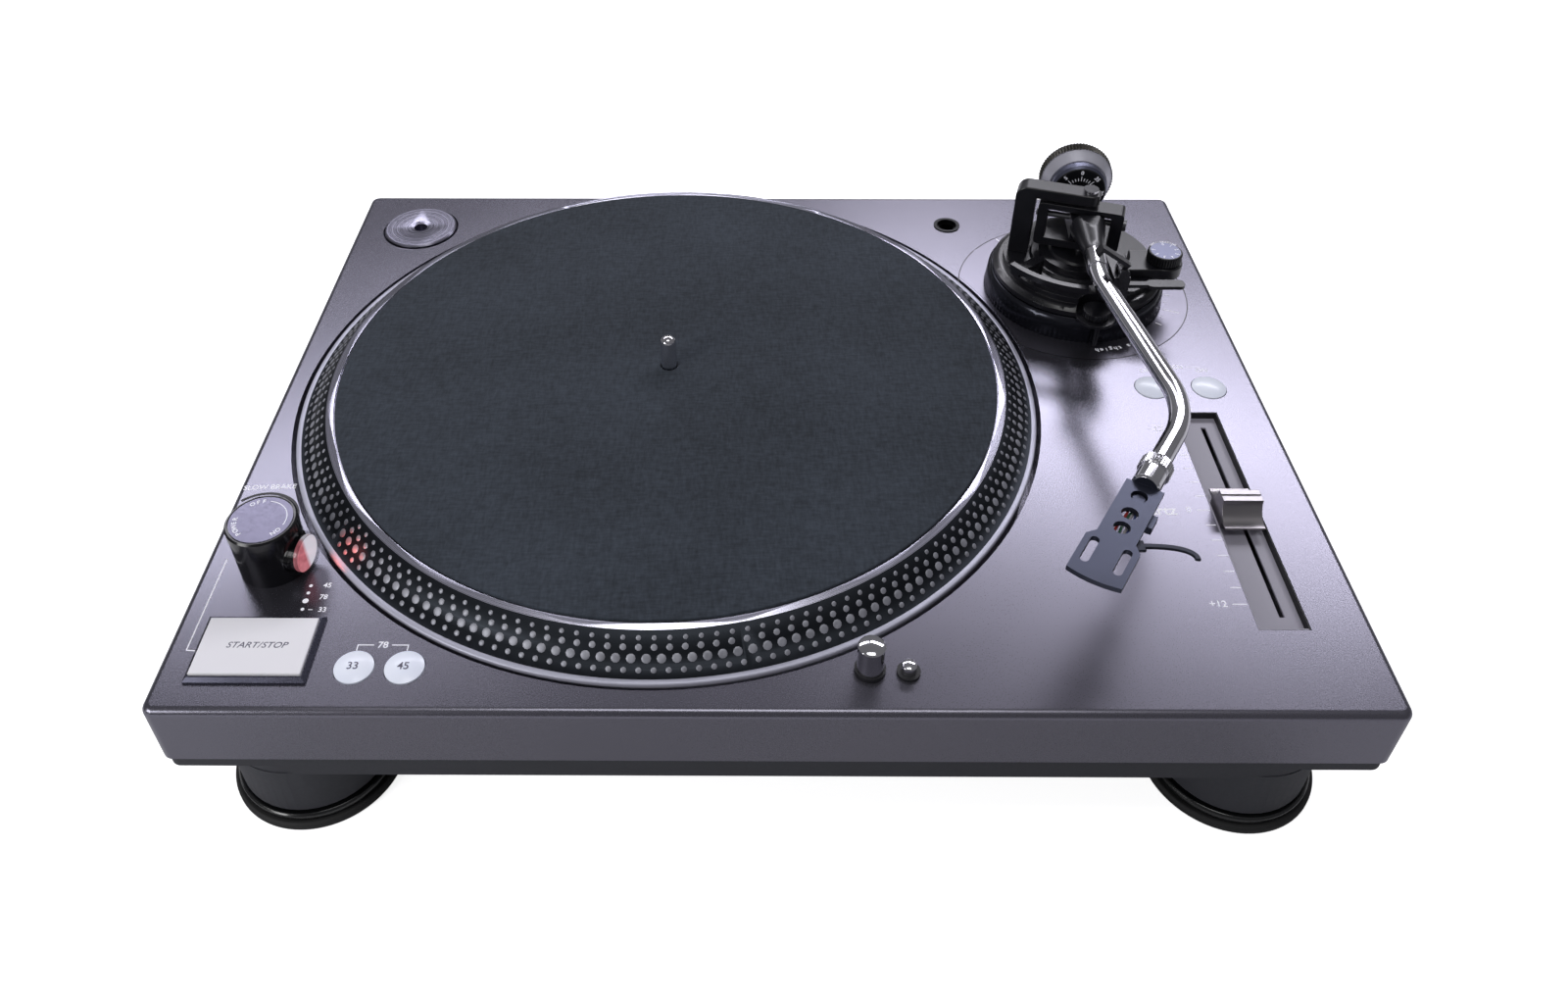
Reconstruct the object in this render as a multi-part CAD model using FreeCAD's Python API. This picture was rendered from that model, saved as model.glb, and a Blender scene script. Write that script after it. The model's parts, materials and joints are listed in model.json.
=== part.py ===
import FreeCAD, Part
import math, os

os.makedirs("parts", exist_ok=True)
V = FreeCAD.Vector
UP = V(0, 0, 1)

# Heights are measured from the deck's top face; PLATE_Z lifts every piece to the floor's frame
PLATE_Z = 72.0
RUN = 0.05
SEAT = 0.02
GAP = 0.3

# Cabinet and lower cover
DECK_W = 448.0
DECK_D = 345.0
HALF_W = DECK_W / 2
HALF_D = DECK_D / 2
DECK_EDGE_R = 3.0
DECK_CORNER_R = 4.5
WALL = 3.5
SEAM_Z = -28.3
COVER_INSET = 1.0
LIP_Z = -34.0
TRAY_HALF_W = DECK_W / 2 - 12.0
TRAY_CORNER_R = 30.0
TRAY_Z = -39.4
TRAY_FLOOR = 3.0
SCREW_X = HALF_W - 7.8
SCREW_ROWS = (-115.0, -45.0, 45.0, 115.0)
SCREW_R = 1.5
SCREW_HEAD_R = 2.8
SCREW_HEAD_H = 2.0
SCREW_LEN = 14.0
BOSS_R = 5.0

# Feet
FOOT_X = HALF_W - 42.0
FOOT_Y = HALF_D - 30.5
HOUSING_R = 29.8
HOUSING_Z = -63.0
FOOT_STEM_R = 8.0
FOOT_STEM_TOP = -51.0
FOOT_NECK_R = 27.0
FOOT_RING_R = 31.5
FOOT_RING_TOP = -64.5
FOOT_RING_H = 3.0
FOOT_BASE_R = 30.5
PAD_R = 33.5
PAD_TOP = -68.0
PAD_EDGE = 1.0

# Platter, mat, spindle and drive
RIM_R = 166.0
SPIN_X = RIM_R + 11.5 - HALF_W
SPIN_Y = HALF_D - RIM_R - 1.0
WELL_R = RIM_R + 2.0
WELL_WALL = 3.0
WELL_Z = -24.0
WELL_BACK_Y = HALF_D - 2.0
WELL_BACK_TOP = -3.0
RIM_TOP = 0.6
RIM_H = 2.6
RIM_EDGE = 0.7
BAND_OUT_R = RIM_R - 2.4
BAND_OUT_Z = 0.4
BAND_IN_R = RIM_R - 15.0
BAND_TOP = 12.5
RING_IN_R = RIM_R - 18.0
SEAT_Z = 11.3
PLATTER_T = 3.0
SKIRT_R = RIM_R - 2.0
SKIRT_T = 5.0
SKIRT_Z = -20.0
HUB_R = 12.0
HUB_Z = -4.5
MAT_R = RING_IN_R - 0.5
MAT_T = 1.8
SPINDLE_R = 3.55
MAT_HOLE_R = SPINDLE_R + 0.4
SPINDLE_TOP = 29.0
SPINDLE_NOSE = 2.6
SPINDLE_FOOT = -32.5
SPINDLE_COLLAR_R = 7.0
SPINDLE_COLLAR_H = 1.5
BEARING_R = 9.0
BEARING_TOP = -8.0
BEARING_FOOT = -35.5
BEARING_FLANGE_R = 22.0
BEARING_FLANGE_T = 3.0
MAGNET_IN_R = 38.0
MAGNET_R = 60.0
MAGNET_Z = -16.0
MAGNET_TOP = -8.0
MAGNET_BOSS_IN = MAGNET_IN_R + 2.0
MAGNET_BOSS_R = MAGNET_R - 2.0
BOARD_IN_R = BEARING_FLANGE_R + 2.5
BOARD_R = 76.0
BOARD_T = 1.6
COIL_PITCH_R = 49.0
COIL_R = 7.0
COIL_TOP = -17.0
COILS = 12

# Mains and circuit pieces inside the case
TOROID_X = 37.0 - HALF_W
TOROID_Y = HALF_D - 29.5
TOROID_R = 20.0
TOROID_H = 22.0
TOROID_HOLE_R = 7.0
TOROID_EDGE = 4.0
CLAMP_R = 10.0
CLAMP_T = 1.5
CLAMP_BOLT_R = 3.0
MAIN_X = HALF_W - 95.0
MAIN_Y = 22.5 - HALF_D
MAIN_W = 39.0
MAIN_LENGTH = 90.0
MAIN_Z = -32.0
STANDOFF_R = 3.0
STANDOFF_INSET = 5.0
CHIP_W = 14.0
CHIP_H = 3.0
CAP_R = 5.0
CAP_H = 14.0
SINK_L = 24.0
SINK_T = 3.0
SINK_H = 15.0
INLET_X = 74.0 - HALF_W
INLET_Z = -16.0
INLET_W = 24.0
INLET_H = 15.0
INLET_L = 18.0
INLET_FLANGE = 3.0
INLET_FLANGE_T = 2.0
INLET_HOLE_W = 17.0
INLET_HOLE_H = 9.0
INLET_HOLE_L = 14.0
INLET_PIN_R = 1.2
INLET_PIN_PITCH = 8.6
INLET_SET = 0.8
JACK_X = HALF_W - 74.0
JACK_Z = -16.0
JACK_W = 50.0
JACK_H = 20.0
JACK_DEPTH = 9.0
JACK_WALL = 2.0
JACK_R = 4.2
JACK_CORE_R = 1.8
JACK_PITCH = 15.0
JACK_L = 9.0
JACK_FLANGE_R = 5.5
JACK_FLANGE_T = 1.0
EARTH_R = 2.5
EARTH_L = 6.0

# Start/stop, speed and pitch buttons
START_X = 33.85 - HALF_W
START_Y = 27.0 - HALF_D
BEZEL_W = 44.0
BEZEL_D = 30.0
BEZEL_H = 2.2
BEZEL_BEVEL = 1.4
BEZEL_SKIRT = 0.6
BEZEL_FLOOR_Z = -9.0
BEZEL_FLOOR_T = 1.5
START_W = 40.4
START_D = 25.5
START_TOP = 3.2
START_FOOT = -5.0
START_EDGE = 0.5
PRESS = 1.0
STEM_R = 2.0
STEM_L = 5.0
SPEED_Y = 19.5 - HALF_D
SPEED_33_X = 71.5 - HALF_W
SPEED_45_X = 89.8 - HALF_W
SPEED_R = 7.2
PITCH_Y = HALF_D - 166.85
PITCH_OFF_X = HALF_W - 48.9
PITCH_ON_X = HALF_W - 22.8
PITCH_R = 7.7
BUTTON_TOP = 1.9
BUTTON_DOME_H = 1.5
BUTTON_FOOT = -3.4
CUP_Z = -7.0
CUP_FLOOR = 2.0
CUP_WALL = 2.0

# Strobe and power tower
TOWER_X = 28.0 - HALF_W
TOWER_Y = 70.0 - HALF_D
TOWER_R = 13.4
TOWER_TOP = 19.5
TOWER_BORE_R = 11.4
TOWER_CAP_T = 2.0
SPIGOT_R = 9.0
SPIGOT_Z = -9.0
SPIGOT_BORE_R = 7.0
HOOD_REACH = 16.5
HOOD_ANGLE = -14.0
HOOD_R = 8.4
HOOD_Z = 9.4
HOOD_WALL = 1.0
PANE_T = 1.0
PANE_SET = 0.8
KNOB_R = 13.6
KNOB_TOP = 24.0
KNOB_EDGE = 0.7
KNOB_DISC_R = 12.0
KNOB_GROOVE = 0.5
KNOB_SHAFT_R = 3.0
KNOB_SHAFT_L = 8.0

# Adaptor, headshell socket and target lamp
ADAPTOR_X = 34.5 - HALF_W
ADAPTOR_Y = HALF_D - 33.9
ADAPTOR_R = 19.05
ADAPTOR_TOP = 1.5
ADAPTOR_HOLE_R = 3.65
ADAPTOR_CHAMFER = 0.8
ADAPTOR_DISH_R = 6.0
ADAPTOR_DISH = 0.6
RECESS_R = 20.0
RECESS_Z = -6.0
SOCKET_X = HALF_W - 127.0
SOCKET_Y = HALF_D - 29.5
SOCKET_R = 7.0
SOCKET_RIM = 0.5
SOCKET_TUBE_R = 6.2
SOCKET_BORE_R = 4.1
SOCKET_MOUTH_R = 5.2
SOCKET_MOUTH = 1.5
SOCKET_Z = -24.0
SOCKET_FLOOR = 2.0
LAMP_X = SPIN_X + 80.5
LAMP_Y = 19.0 - HALF_D
LAMP_R = 5.0
LAMP_TOP = 14.5
LAMP_EDGE = 0.6
LAMP_FOOT = -16.0
LAMP_LENS_Z = 8.0
LAMP_LENS_H = 3.4
LAMP_LENS_DEPTH = 0.8
BUSH_R = 5.7
BUSH_TOP = 2.0
BUSH_BODY_R = 7.0
BUSH_FOOT = -20.0
BUSH_WEB_T = 2.5
RELEASE_X = SPIN_X + 94.4
RELEASE_Y = 18.2 - HALF_D
RELEASE_R = 2.8
RELEASE_TOP = 5.0
RELEASE_EDGE = 0.5
RELEASE_FOOT = -9.0
RELEASE_BUSH_R = 4.3
RELEASE_BUSH_TOP = 1.2
RELEASE_BODY_R = 5.5
RELEASE_BODY_Z = -12.0

# Pitch fader
FADER_X0 = HALF_W - 43.1
FADER_X1 = HALF_W - 24.95
FADER_Y0 = 38.8 - HALF_D
FADER_Y1 = FADER_Y0 + 121.4
FADER_DEPTH = 3.0
FADER_FLOOR = 1.2
FADER_WALL = 0.8
SLOT_X = HALF_W - 31.5
SLOT_W = 2.0
SLOT_Y0 = FADER_Y0 + 7.7
SLOT_Y1 = FADER_Y1 - 6.2
GRIP_Y = FADER_Y0 + 60.8
GRIP_X0 = FADER_X0 + 1.1
GRIP_X1 = FADER_X1 - 0.75
GRIP_HALF = 11.5
GRIP_BASE_Z = 0.5
GRIP_BASE_TOP = 1.6
GRIP_TOP = 9.0
GRIP_TOP_HALF = 3.2
GRIP_SAG = 1.7
GRIP_MARK = 0.5
GRIP_NOSE_HALF = 7.0
GRIP_NOSE_Z = -2.6
STEM_HALF = 2.8
CARRIAGE_W = 5.2
CARRIAGE_HALF = 5.0
CARRIAGE_Z = -12.0
CARRIAGE_TOP = -6.0
UNIT_W = 13.0
UNIT_WALL = 3.5
UNIT_Z = -16.0
UNIT_END = 6.0

# Arm height assembly round the arm pivot
ARM_X = HALF_W - 70.7
ARM_Y = HALF_D - 89.2
SCALE_R = 57.0
SCALE_T = 1.0
SCALE_LAND = 1.2
SLEEVE_BORE_R = 34.0
SLEEVE_R = SLEEVE_BORE_R + 2.0
SLEEVE_TOP = 11.8
SLEEVE_FOOT = -20.0
SLEEVE_FLANGE_R = 42.0
SLEEVE_FLANGE_T = 3.0
HEIGHT_R = 44.2
HEIGHT_TOP_R = 43.2
HEIGHT_H = 12.0
HEIGHT_BEVEL = 1.6
HEIGHT_TEETH = 110
HEIGHT_TOOTH = 0.6
BASE_BODY_FOOT = -18.0
BASE_CAVITY_R = 25.0
BASE_CAVITY_TOP = 10.0
DISH_Z = 12.5
DISH_R = 41.2
DISH_EDGE_Z = 15.0
DISH_IN_R = DISH_R - 3.2
DISH_IN_Z = 17.0
TERRACE_R = DISH_R - 4.7
TERRACE_Z = 20.0
STEP_R = 24.0
STEP_Z = 21.5
TURRET_R = 20.0
TURRET_IN_R = 15.0
TURRET_Z = 24.0
TURRET_TOP = 25.0
LOCK_X = ARM_X + 1.3
LOCK_Y = ARM_Y - 40.8
LOCK_R = 6.6
LOCK_Z = 14.2
LOCK_TOP = 17.6
LOCK_PIN_R = 2.0
LOCK_PIN_Z = 12.5
LOCK_TEETH = 24
LOCK_TOOTH = 0.4
LUG_R = 9.4
POINTER_REACH = 46.6
POINTER_R = 1.2
POINTER_Z = 0.5

# Cue lever and cue rail
LEVER_X = ARM_X + 13.7
LEVER_Y = ARM_Y - 26.8
LEVER_Z = 24.5
LEVER_HUB_R = 3.0
LEVER_HUB_L = 7.0
LEVER_PIN_R = 1.2
LEVER_LUG_T = 1.8
LEVER_ARM_X = ARM_X + 27.7
LEVER_ARM_W = 3.2
LEVER_ARM_T = 1.8
LEVER_ARM_Z = 22.2
LEVER_TIP_X = ARM_X + 44.7
PADDLE_W = 6.0
PADDLE_Y = ARM_Y - 28.5
RAIL_R = 46.6
RAIL_W = 3.0
RAIL_TOP = 34.0
RAIL_T = 3.0
RAIL_FROM = -146.0
RAIL_TO = -98.0
RAIL_STEM_R = 2.5
RAIL_STEM_REACH = 30.0
RAIL_STEM_ANGLE = -143.0
RAIL_STEM_FOOT = 12.6
RAIL_BORE_FOOT = 12.3
RAIL_WEB_W = 5.0

# Gimbal: yoke fixed on the arm base, ring swinging in it
GIMBAL_ANGLE = -17.4
YOKE_OUT = -34.5
YOKE_IN = -24.6
YOKE_END = 5.0
YOKE_HALF = 4.85
YOKE_BEAM_Z = 51.5
YOKE_TOP = 57.0
YOKE_CORNER = 5.5
YOKE_EDGE = 0.8
RING_LEFT = -22.9
RING_RIGHT = 17.7
RING_HALF = 5.0
RING_Z = 27.0
RING_TOP = 50.0
WINDOW_LEFT = -18.0
WINDOW_RIGHT = 12.0
WINDOW_Z = 31.0
WINDOW_TOP = 47.0
RING_CORNER = 2.0
PIVOT_R = 1.5
PIVOT_HEAD_R = 3.6
PIVOT_HEAD_H = 2.0
PIVOT_SHOULDER_R = 2.6
PIVOT_IN = 2.0
PIVOT_SET = 4.0
TILT_PIN_R = 1.5
TILT_PIN_HEAD_R = 3.0
TILT_PIN_HEAD = 1.6
TILT_PIN_IN = 4.0

# Tonearm
ARM_ANGLE = -94.3
TUBE_Z = 42.0
TUBE_R = 4.25
BEND_1 = (ARM_X - 3.8, ARM_Y - 50.2)
BEND_1_R = 60.0
BEND_2 = (ARM_X + 11.4, ARM_Y - 142.4)
BEND_2_R = 46.5
COLLAR_END = (ARM_X - 16.1, ARM_Y - 185.3)
SHELL_ANGLE = -122.6
BLOCK_HALF = 7.0
BLOCK_W = 8.0
BLOCK_UP = 3.4
BLOCK_DOWN = 6.0
CONE_FROM = 8.0
CONE_TO = 28.0
CONE_R = 8.4
CONE_END_R = 5.0
CONE_FLAT = 7.0
NOSE_TO = 31.0
TUBE_FROM = 20.0
TUBE_COLLAR_R = 4.9
TUBE_COLLAR_TO = 43.0
SHAFT_R = 5.0
SHAFT_TO = -44.0
PLUG_R = 3.45
PLUG_BORE_R = 3.5
TUBE_SHORT = 6.0
PLUG_L = 11.0
PLUG_FLANGE_R = 4.5
LOCKING_L = 14.0
LOCKING_R = 5.5
LOCKING_KNURL_R = 6.4
LOCKING_KNURL_L = 5.0
LOCKING_TEETH = 36
LOCKING_TOOTH = 0.35
LOCKING_EDGE = 0.8

# Headshell and finger lift
SHELL_L = 53.0
SHELL_HALF = 7.2
SHELL_WIDE_HALF = 10.0
SHELL_STEP = 31.0
SHELL_STEP_END = 34.5
SHELL_BULGE = 1.3
SHELL_TOP = 43.0
SHELL_T = 2.2
SHELL_NECK_L = 5.0
SHELL_NECK_Z = 37.6
SHELL_HOLE_R = 3.1
SHELL_HOLES = (6.9, 17.0, 25.3)
SHELL_SLOT_V = 6.0
SHELL_SLOT_W = 3.3
SHELL_SLOT_FROM = 34.5
SHELL_SLOT_TO = 48.0
SHELL_SCREW_R = 2.3
BRACKET_FROM = 11.0
BRACKET_TO = 18.0
BRACKET_OUT = 1.8
LIFT_FROM = (ARM_X - 24.8, ARM_Y - 213.2)
LIFT_MID = (ARM_X - 14.4, ARM_Y - 214.1)
LIFT_BEND = (ARM_X - 6.7, ARM_Y - 216.5)
LIFT_TIP = (ARM_X - 5.5, ARM_Y - 219.7)
LIFT_W = 2.0
LIFT_T = 1.2
LIFT_TAB = 5.0

# Counterweight and stylus pressure dial
WEIGHT_FROM = 31.0
WEIGHT_CONE_TO = 36.5
WEIGHT_KNURL_TO = 42.5
WEIGHT_TO = 46.0
WEIGHT_SMALL_R = 14.5
WEIGHT_CONE_R = 17.5
WEIGHT_R = 18.2
WEIGHT_TAIL_R = 16.5
WEIGHT_TEETH = 72
WEIGHT_TOOTH = 0.5
DIAL_FROM = 25.0
DIAL_STEP = 27.0
DIAL_R = 14.0
DIAL_FACE_R = 12.8

# Anti-skate housing and dial
SKATE_X = ARM_X + 39.1
SKATE_Y = ARM_Y - 9.6
SKATE_R = 8.3
SKATE_TOP = 30.0
SKATE_GRIP_Z = 24.8
SKATE_EDGE = 0.6
SKATE_TEETH = 40
SKATE_TOOTH = 0.35
SKATE_PIN_R = 2.0
SKATE_PIN_L = 4.5
SKATE_BODY_TOP = 24.5
SKATE_BODY_Z = 18.0
SKATE_BODY_X = ARM_X + 18.7
SKATE_FRONT_Y = ARM_Y - 18.3
SKATE_BACK_Y = ARM_Y - 0.5
SKATE_END_R = 9.2

# Arm rest and its clip
REST_X0 = ARM_X + 3.2
REST_X1 = ARM_X + 10.7
REST_FOOT_Y0 = ARM_Y - 34.8
REST_FOOT_Y1 = ARM_Y - 27.3
REST_Y0 = ARM_Y - 49.3
REST_Z = 30.0
REST_TOP = 41.5
CRADLE_X = ARM_X - 3.1
CRADLE_Y1 = ARM_Y - 43.8
CRADLE_Z = 33.2
CLIP_X = ARM_X + 7.2
CLIP_Z = 44.0
CLIP_Y = ARM_Y - 46.6
CLIP_W = 4.6
CLIP_HUB_R = 2.4
CLIP_PIN_R = 1.0
CLIP_LUG_T = 1.6
CLIP_REACH = 17.0
CLIP_T = 1.8
CLIP_RISE = 2.8
CLIP_LIP = 3.0
CLIP_OPEN = 34.0


def cyl(x, y, r, z0, z1):
    return Part.makeCylinder(r, z1 - z0, V(x, y, z0))


def box(x0, x1, y0, y1, z0, z1):
    return Part.makeBox(x1 - x0, y1 - y0, z1 - z0, V(x0, y0, z0))


def rod_x(x0, x1, r, y=0.0, z=TUBE_Z):
    return Part.makeCylinder(r, x1 - x0, V(x0, y, z), V(1, 0, 0))


def rod_y(x, y0, y1, z, r):
    return Part.makeCylinder(r, y1 - y0, V(x, y0, z), V(0, 1, 0))


def fuse(first, *rest):
    return first.multiFuse(list(rest)).removeSplitter()


def cut(first, *rest):
    for tool in rest:
        first = first.cut(tool)
    return first


def round_edges(shape, radius, wanted):
    return shape.makeFillet(radius, [e for e in shape.Edges if wanted(e)])


def upright(edge):
    a, b = edge.Vertexes[0].Point, edge.Vertexes[-1].Point
    return len(edge.Vertexes) == 2 and abs(a.x - b.x) < 1e-6 and abs(a.y - b.y) < 1e-6


def at_height(z):
    return lambda e: all(abs(v.Z - z) < 1e-6 for v in e.Vertexes)


def slab(half_w, half_d, z0, z1, corner):
    return round_edges(box(-half_w, half_w, -half_d, half_d, z0, z1), corner, upright)


def turned(x, y, points):
    wire = Part.makePolygon([V(x + r, y, z) for r, z in points + points[:1]])
    return Part.Face(wire).revolve(V(x, y, 0), UP, 360)


def turned_x(points):
    wire = Part.makePolygon([V(s, 0, TUBE_Z + r) for s, r in points + points[:1]])
    return Part.Face(wire).revolve(V(0, 0, TUBE_Z), V(1, 0, 0), 360)


def toothed(r, depth, teeth, z0, z1):
    points = []
    for i in range(2 * teeth + 1):
        turn = math.pi * i / teeth
        reach = r - depth * (i % 2)
        points.append(V(reach * math.cos(turn), reach * math.sin(turn), z0))
    return Part.Face(Part.makePolygon(points)).extrude(V(0, 0, z1 - z0))


def toothed_x(r, depth, teeth, s0, s1):
    wheel = toothed(r, depth, teeth, s0, s1)
    wheel.rotate(V(0, 0, 0), V(0, 1, 0), 90)
    wheel.translate(V(0, 0, TUBE_Z))
    return wheel


def placed(shape, x, y, angle):
    shape.rotate(V(0, 0, 0), UP, angle)
    shape.translate(V(x, y, 0))
    return shape


def on_arm(shape):
    return placed(shape, ARM_X, ARM_Y, ARM_ANGLE)


def on_gimbal(shape):
    return placed(shape, ARM_X, ARM_Y, GIMBAL_ANGLE)


def on_shell(shape):
    return placed(shape, COLLAR_END[0], COLLAR_END[1], SHELL_ANGLE)


def save(node, *solids):
    shape = solids[0] if len(solids) == 1 else Part.makeCompound(list(solids))
    shape = shape.copy()
    shape.translate(V(0, 0, PLATE_Z))
    shape.exportStep("parts/" + node + ".step")


def corners():
    return [(sx, sy) for sx in (-1, 1) for sy in (-1, 1)]


# Cabinet: four walls, deck, and a drum that forms the platter well
def deck_shell():
    outer = slab(HALF_W, HALF_D, SEAM_Z, 0, DECK_CORNER_R)
    outer = round_edges(outer, DECK_EDGE_R, at_height(0))
    inner = box(WALL - HALF_W, HALF_W - WALL, WALL - HALF_D, HALF_D - WALL, SEAM_Z, -WALL)
    drum = cyl(SPIN_X, SPIN_Y, WELL_R + WELL_WALL, WELL_Z - WELL_WALL, -WALL)
    return outer.cut(inner.cut(drum))


def well_pocket():
    pocket = cyl(SPIN_X, SPIN_Y, WELL_R, WELL_Z, 1)
    back = box(-DECK_W, DECK_W, WELL_BACK_Y, DECK_D, WELL_Z, WELL_BACK_TOP)
    return pocket.cut(back)


def cup(x, y, r, z):
    return cyl(x, y, r + CUP_WALL, z, -WALL + 0.1)


def button_places():
    return [(SPEED_33_X, SPEED_Y, SPEED_R), (SPEED_45_X, SPEED_Y, SPEED_R),
            (PITCH_OFF_X, PITCH_Y, PITCH_R), (PITCH_ON_X, PITCH_Y, PITCH_R)]


def screw_places():
    return [(side * SCREW_X, y) for side in (-1, 1) for y in SCREW_ROWS]


def scale_outline(grow, z0, z1):
    disc = cyl(ARM_X, ARM_Y, SCALE_R + grow, z0, z1)
    return disc.cut(cyl(SPIN_X, SPIN_Y, WELL_R + SCALE_LAND - grow, z0 - 1, z1 + 1))


def top_cabinet():
    shell = deck_shell()
    cups = [cup(x, y, r + GAP, CUP_Z) for x, y, r in button_places()]
    cups.append(cup(ADAPTOR_X, ADAPTOR_Y, RECESS_R, RECESS_Z - CUP_FLOOR))
    bosses = [cyl(x, y, BOSS_R, SEAM_Z, -WALL + 0.1) for x, y in screw_places()]
    shell = fuse(shell, *(cups + bosses))
    shell = cut(shell, well_pocket(), cyl(SPIN_X, SPIN_Y, BEARING_R + SEAT, WELL_Z - WELL_WALL - 1, 1))
    shell = shell.cut(cyl(ARM_X, ARM_Y, SLEEVE_R + RUN, -WALL - 1, 1))
    shell = shell.cut(scale_outline(SEAT * 4, -SCALE_T, 1))
    for x, y, r in button_places():
        shell = cut(shell, cyl(x, y, r + GAP, CUP_Z + CUP_FLOOR, 1), cyl(x, y, STEM_R + RUN, CUP_Z - 1, 1))
    shell = shell.cut(cyl(ADAPTOR_X, ADAPTOR_Y, RECESS_R, RECESS_Z, 1))
    shell = shell.cut(cyl(TOWER_X, TOWER_Y, SPIGOT_R + SEAT, -WALL - 1, 1))
    shell = shell.cut(cyl(SOCKET_X, SOCKET_Y, SOCKET_TUBE_R + SEAT, -WALL - 1, 1))
    shell = shell.cut(cyl(LAMP_X, LAMP_Y, BUSH_R + SEAT, -WALL - 1, 1))
    shell = shell.cut(cyl(RELEASE_X, RELEASE_Y, RELEASE_BUSH_R + SEAT, -WALL - 1, 1))
    shell = shell.cut(bezel_block(BEZEL_SKIRT - SEAT, -WALL - 1, 1))
    shell = shell.cut(trough_block(FADER_WALL + SEAT, -WALL - 1, 1))
    shell = cut(shell, inlet_block(SEAT, DECK_D), jack_block(-JACK_WALL, DECK_D))
    for x, y in screw_places():
        shell = shell.cut(cyl(x, y, SCREW_R + SEAT, SEAM_Z - 1, LIP_Z + SCREW_HEAD_H + SCREW_LEN + 1))
    return shell


# Lower cover: lip, tray and four foot housings in one moulding
def base_cover():
    lip = slab(HALF_W - COVER_INSET, HALF_D - COVER_INSET, LIP_Z, SEAM_Z, DECK_CORNER_R)
    tray = slab(TRAY_HALF_W, HALF_D - COVER_INSET, TRAY_Z, LIP_Z, TRAY_CORNER_R)
    hollow = slab(TRAY_HALF_W - WALL, HALF_D - COVER_INSET - WALL, TRAY_Z + TRAY_FLOOR, SEAM_Z + 1,
                  TRAY_CORNER_R - WALL)
    housings = [cyl(sx * FOOT_X, sy * FOOT_Y, HOUSING_R, HOUSING_Z, TRAY_Z + 1) for sx, sy in corners()]
    cover = fuse(lip, tray, *housings).cut(hollow)
    cover = fuse(cover, *[cyl(x, y, STANDOFF_R, TRAY_Z + 1, MAIN_Z) for x, y in standoffs()])
    for sx, sy in corners():
        stem = cyl(sx * FOOT_X, sy * FOOT_Y, FOOT_STEM_R + RUN, HOUSING_Z - 1, FOOT_STEM_TOP + GAP)
        cover = cover.cut(stem)
    for x, y in screw_places():
        cover = cut(cover, cyl(x, y, SCREW_R + SEAT, LIP_Z - 1, SEAM_Z + 1),
                    cyl(x, y, SCREW_HEAD_R + GAP, LIP_Z - 1, LIP_Z + SCREW_HEAD_H))
    return cover


def standoffs():
    xs = (MAIN_X + STANDOFF_INSET, MAIN_X + MAIN_W - STANDOFF_INSET)
    ys = (MAIN_Y + STANDOFF_INSET, MAIN_Y + MAIN_LENGTH - STANDOFF_INSET)
    return [(x, y) for x in xs for y in ys]


def case_screws():
    head_top = LIP_Z + SCREW_HEAD_H
    return [fuse(cyl(x, y, SCREW_HEAD_R, LIP_Z, head_top), cyl(x, y, SCREW_R, head_top, head_top + SCREW_LEN))
            for x, y in screw_places()]


# Feet
def foot(x, y):
    return turned(x, y, [(0, FOOT_STEM_TOP), (FOOT_STEM_R, FOOT_STEM_TOP), (FOOT_STEM_R, HOUSING_Z),
                         (FOOT_NECK_R, HOUSING_Z), (FOOT_NECK_R, FOOT_RING_TOP),
                         (FOOT_RING_R - 0.8, FOOT_RING_TOP), (FOOT_RING_R, FOOT_RING_TOP - 0.8),
                         (FOOT_RING_R, FOOT_RING_TOP - FOOT_RING_H), (FOOT_BASE_R, FOOT_RING_TOP - FOOT_RING_H),
                         (FOOT_BASE_R, PAD_TOP), (0, PAD_TOP)])


def pad(x, y):
    return turned(x, y, [(0, PAD_TOP), (PAD_R - PAD_EDGE, PAD_TOP), (PAD_R, PAD_TOP - PAD_EDGE),
                         (PAD_R, PAD_EDGE - PLATE_Z), (PAD_R - PAD_EDGE, -PLATE_Z), (0, -PLATE_Z)])


# Platter and the pieces that turn with it
def platter():
    under = SEAT_Z - PLATTER_T
    points = [(SPINDLE_R + SEAT, HUB_Z), (HUB_R, HUB_Z), (HUB_R, under), (MAGNET_BOSS_IN, under),
              (MAGNET_BOSS_IN, MAGNET_TOP), (MAGNET_BOSS_R, MAGNET_TOP), (MAGNET_BOSS_R, under),
              (RING_IN_R, under), (SKIRT_R - SKIRT_T, RIM_TOP - RIM_H), (SKIRT_R - SKIRT_T, SKIRT_Z),
              (SKIRT_R, SKIRT_Z), (SKIRT_R, RIM_TOP - RIM_H), (RIM_R - RIM_EDGE, RIM_TOP - RIM_H),
              (RIM_R, RIM_TOP - RIM_H + RIM_EDGE), (RIM_R, RIM_TOP - RIM_EDGE),
               (RIM_R - 0.3 * RIM_EDGE, RIM_TOP - 0.3 * RIM_EDGE),
              (RIM_R - RIM_EDGE, RIM_TOP), (BAND_OUT_R + 0.3, RIM_TOP), (BAND_OUT_R, BAND_OUT_Z),
              (BAND_IN_R, BAND_TOP), (RING_IN_R, BAND_TOP), (RING_IN_R, SEAT_Z), (SPINDLE_R + SEAT, SEAT_Z)]
    return turned(SPIN_X, SPIN_Y, points)


def slipmat():
    mat = cyl(SPIN_X, SPIN_Y, MAT_R, SEAT_Z, SEAT_Z + MAT_T)
    return mat.cut(cyl(SPIN_X, SPIN_Y, MAT_HOLE_R, SEAT_Z - 1, SEAT_Z + MAT_T + 1))


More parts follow.
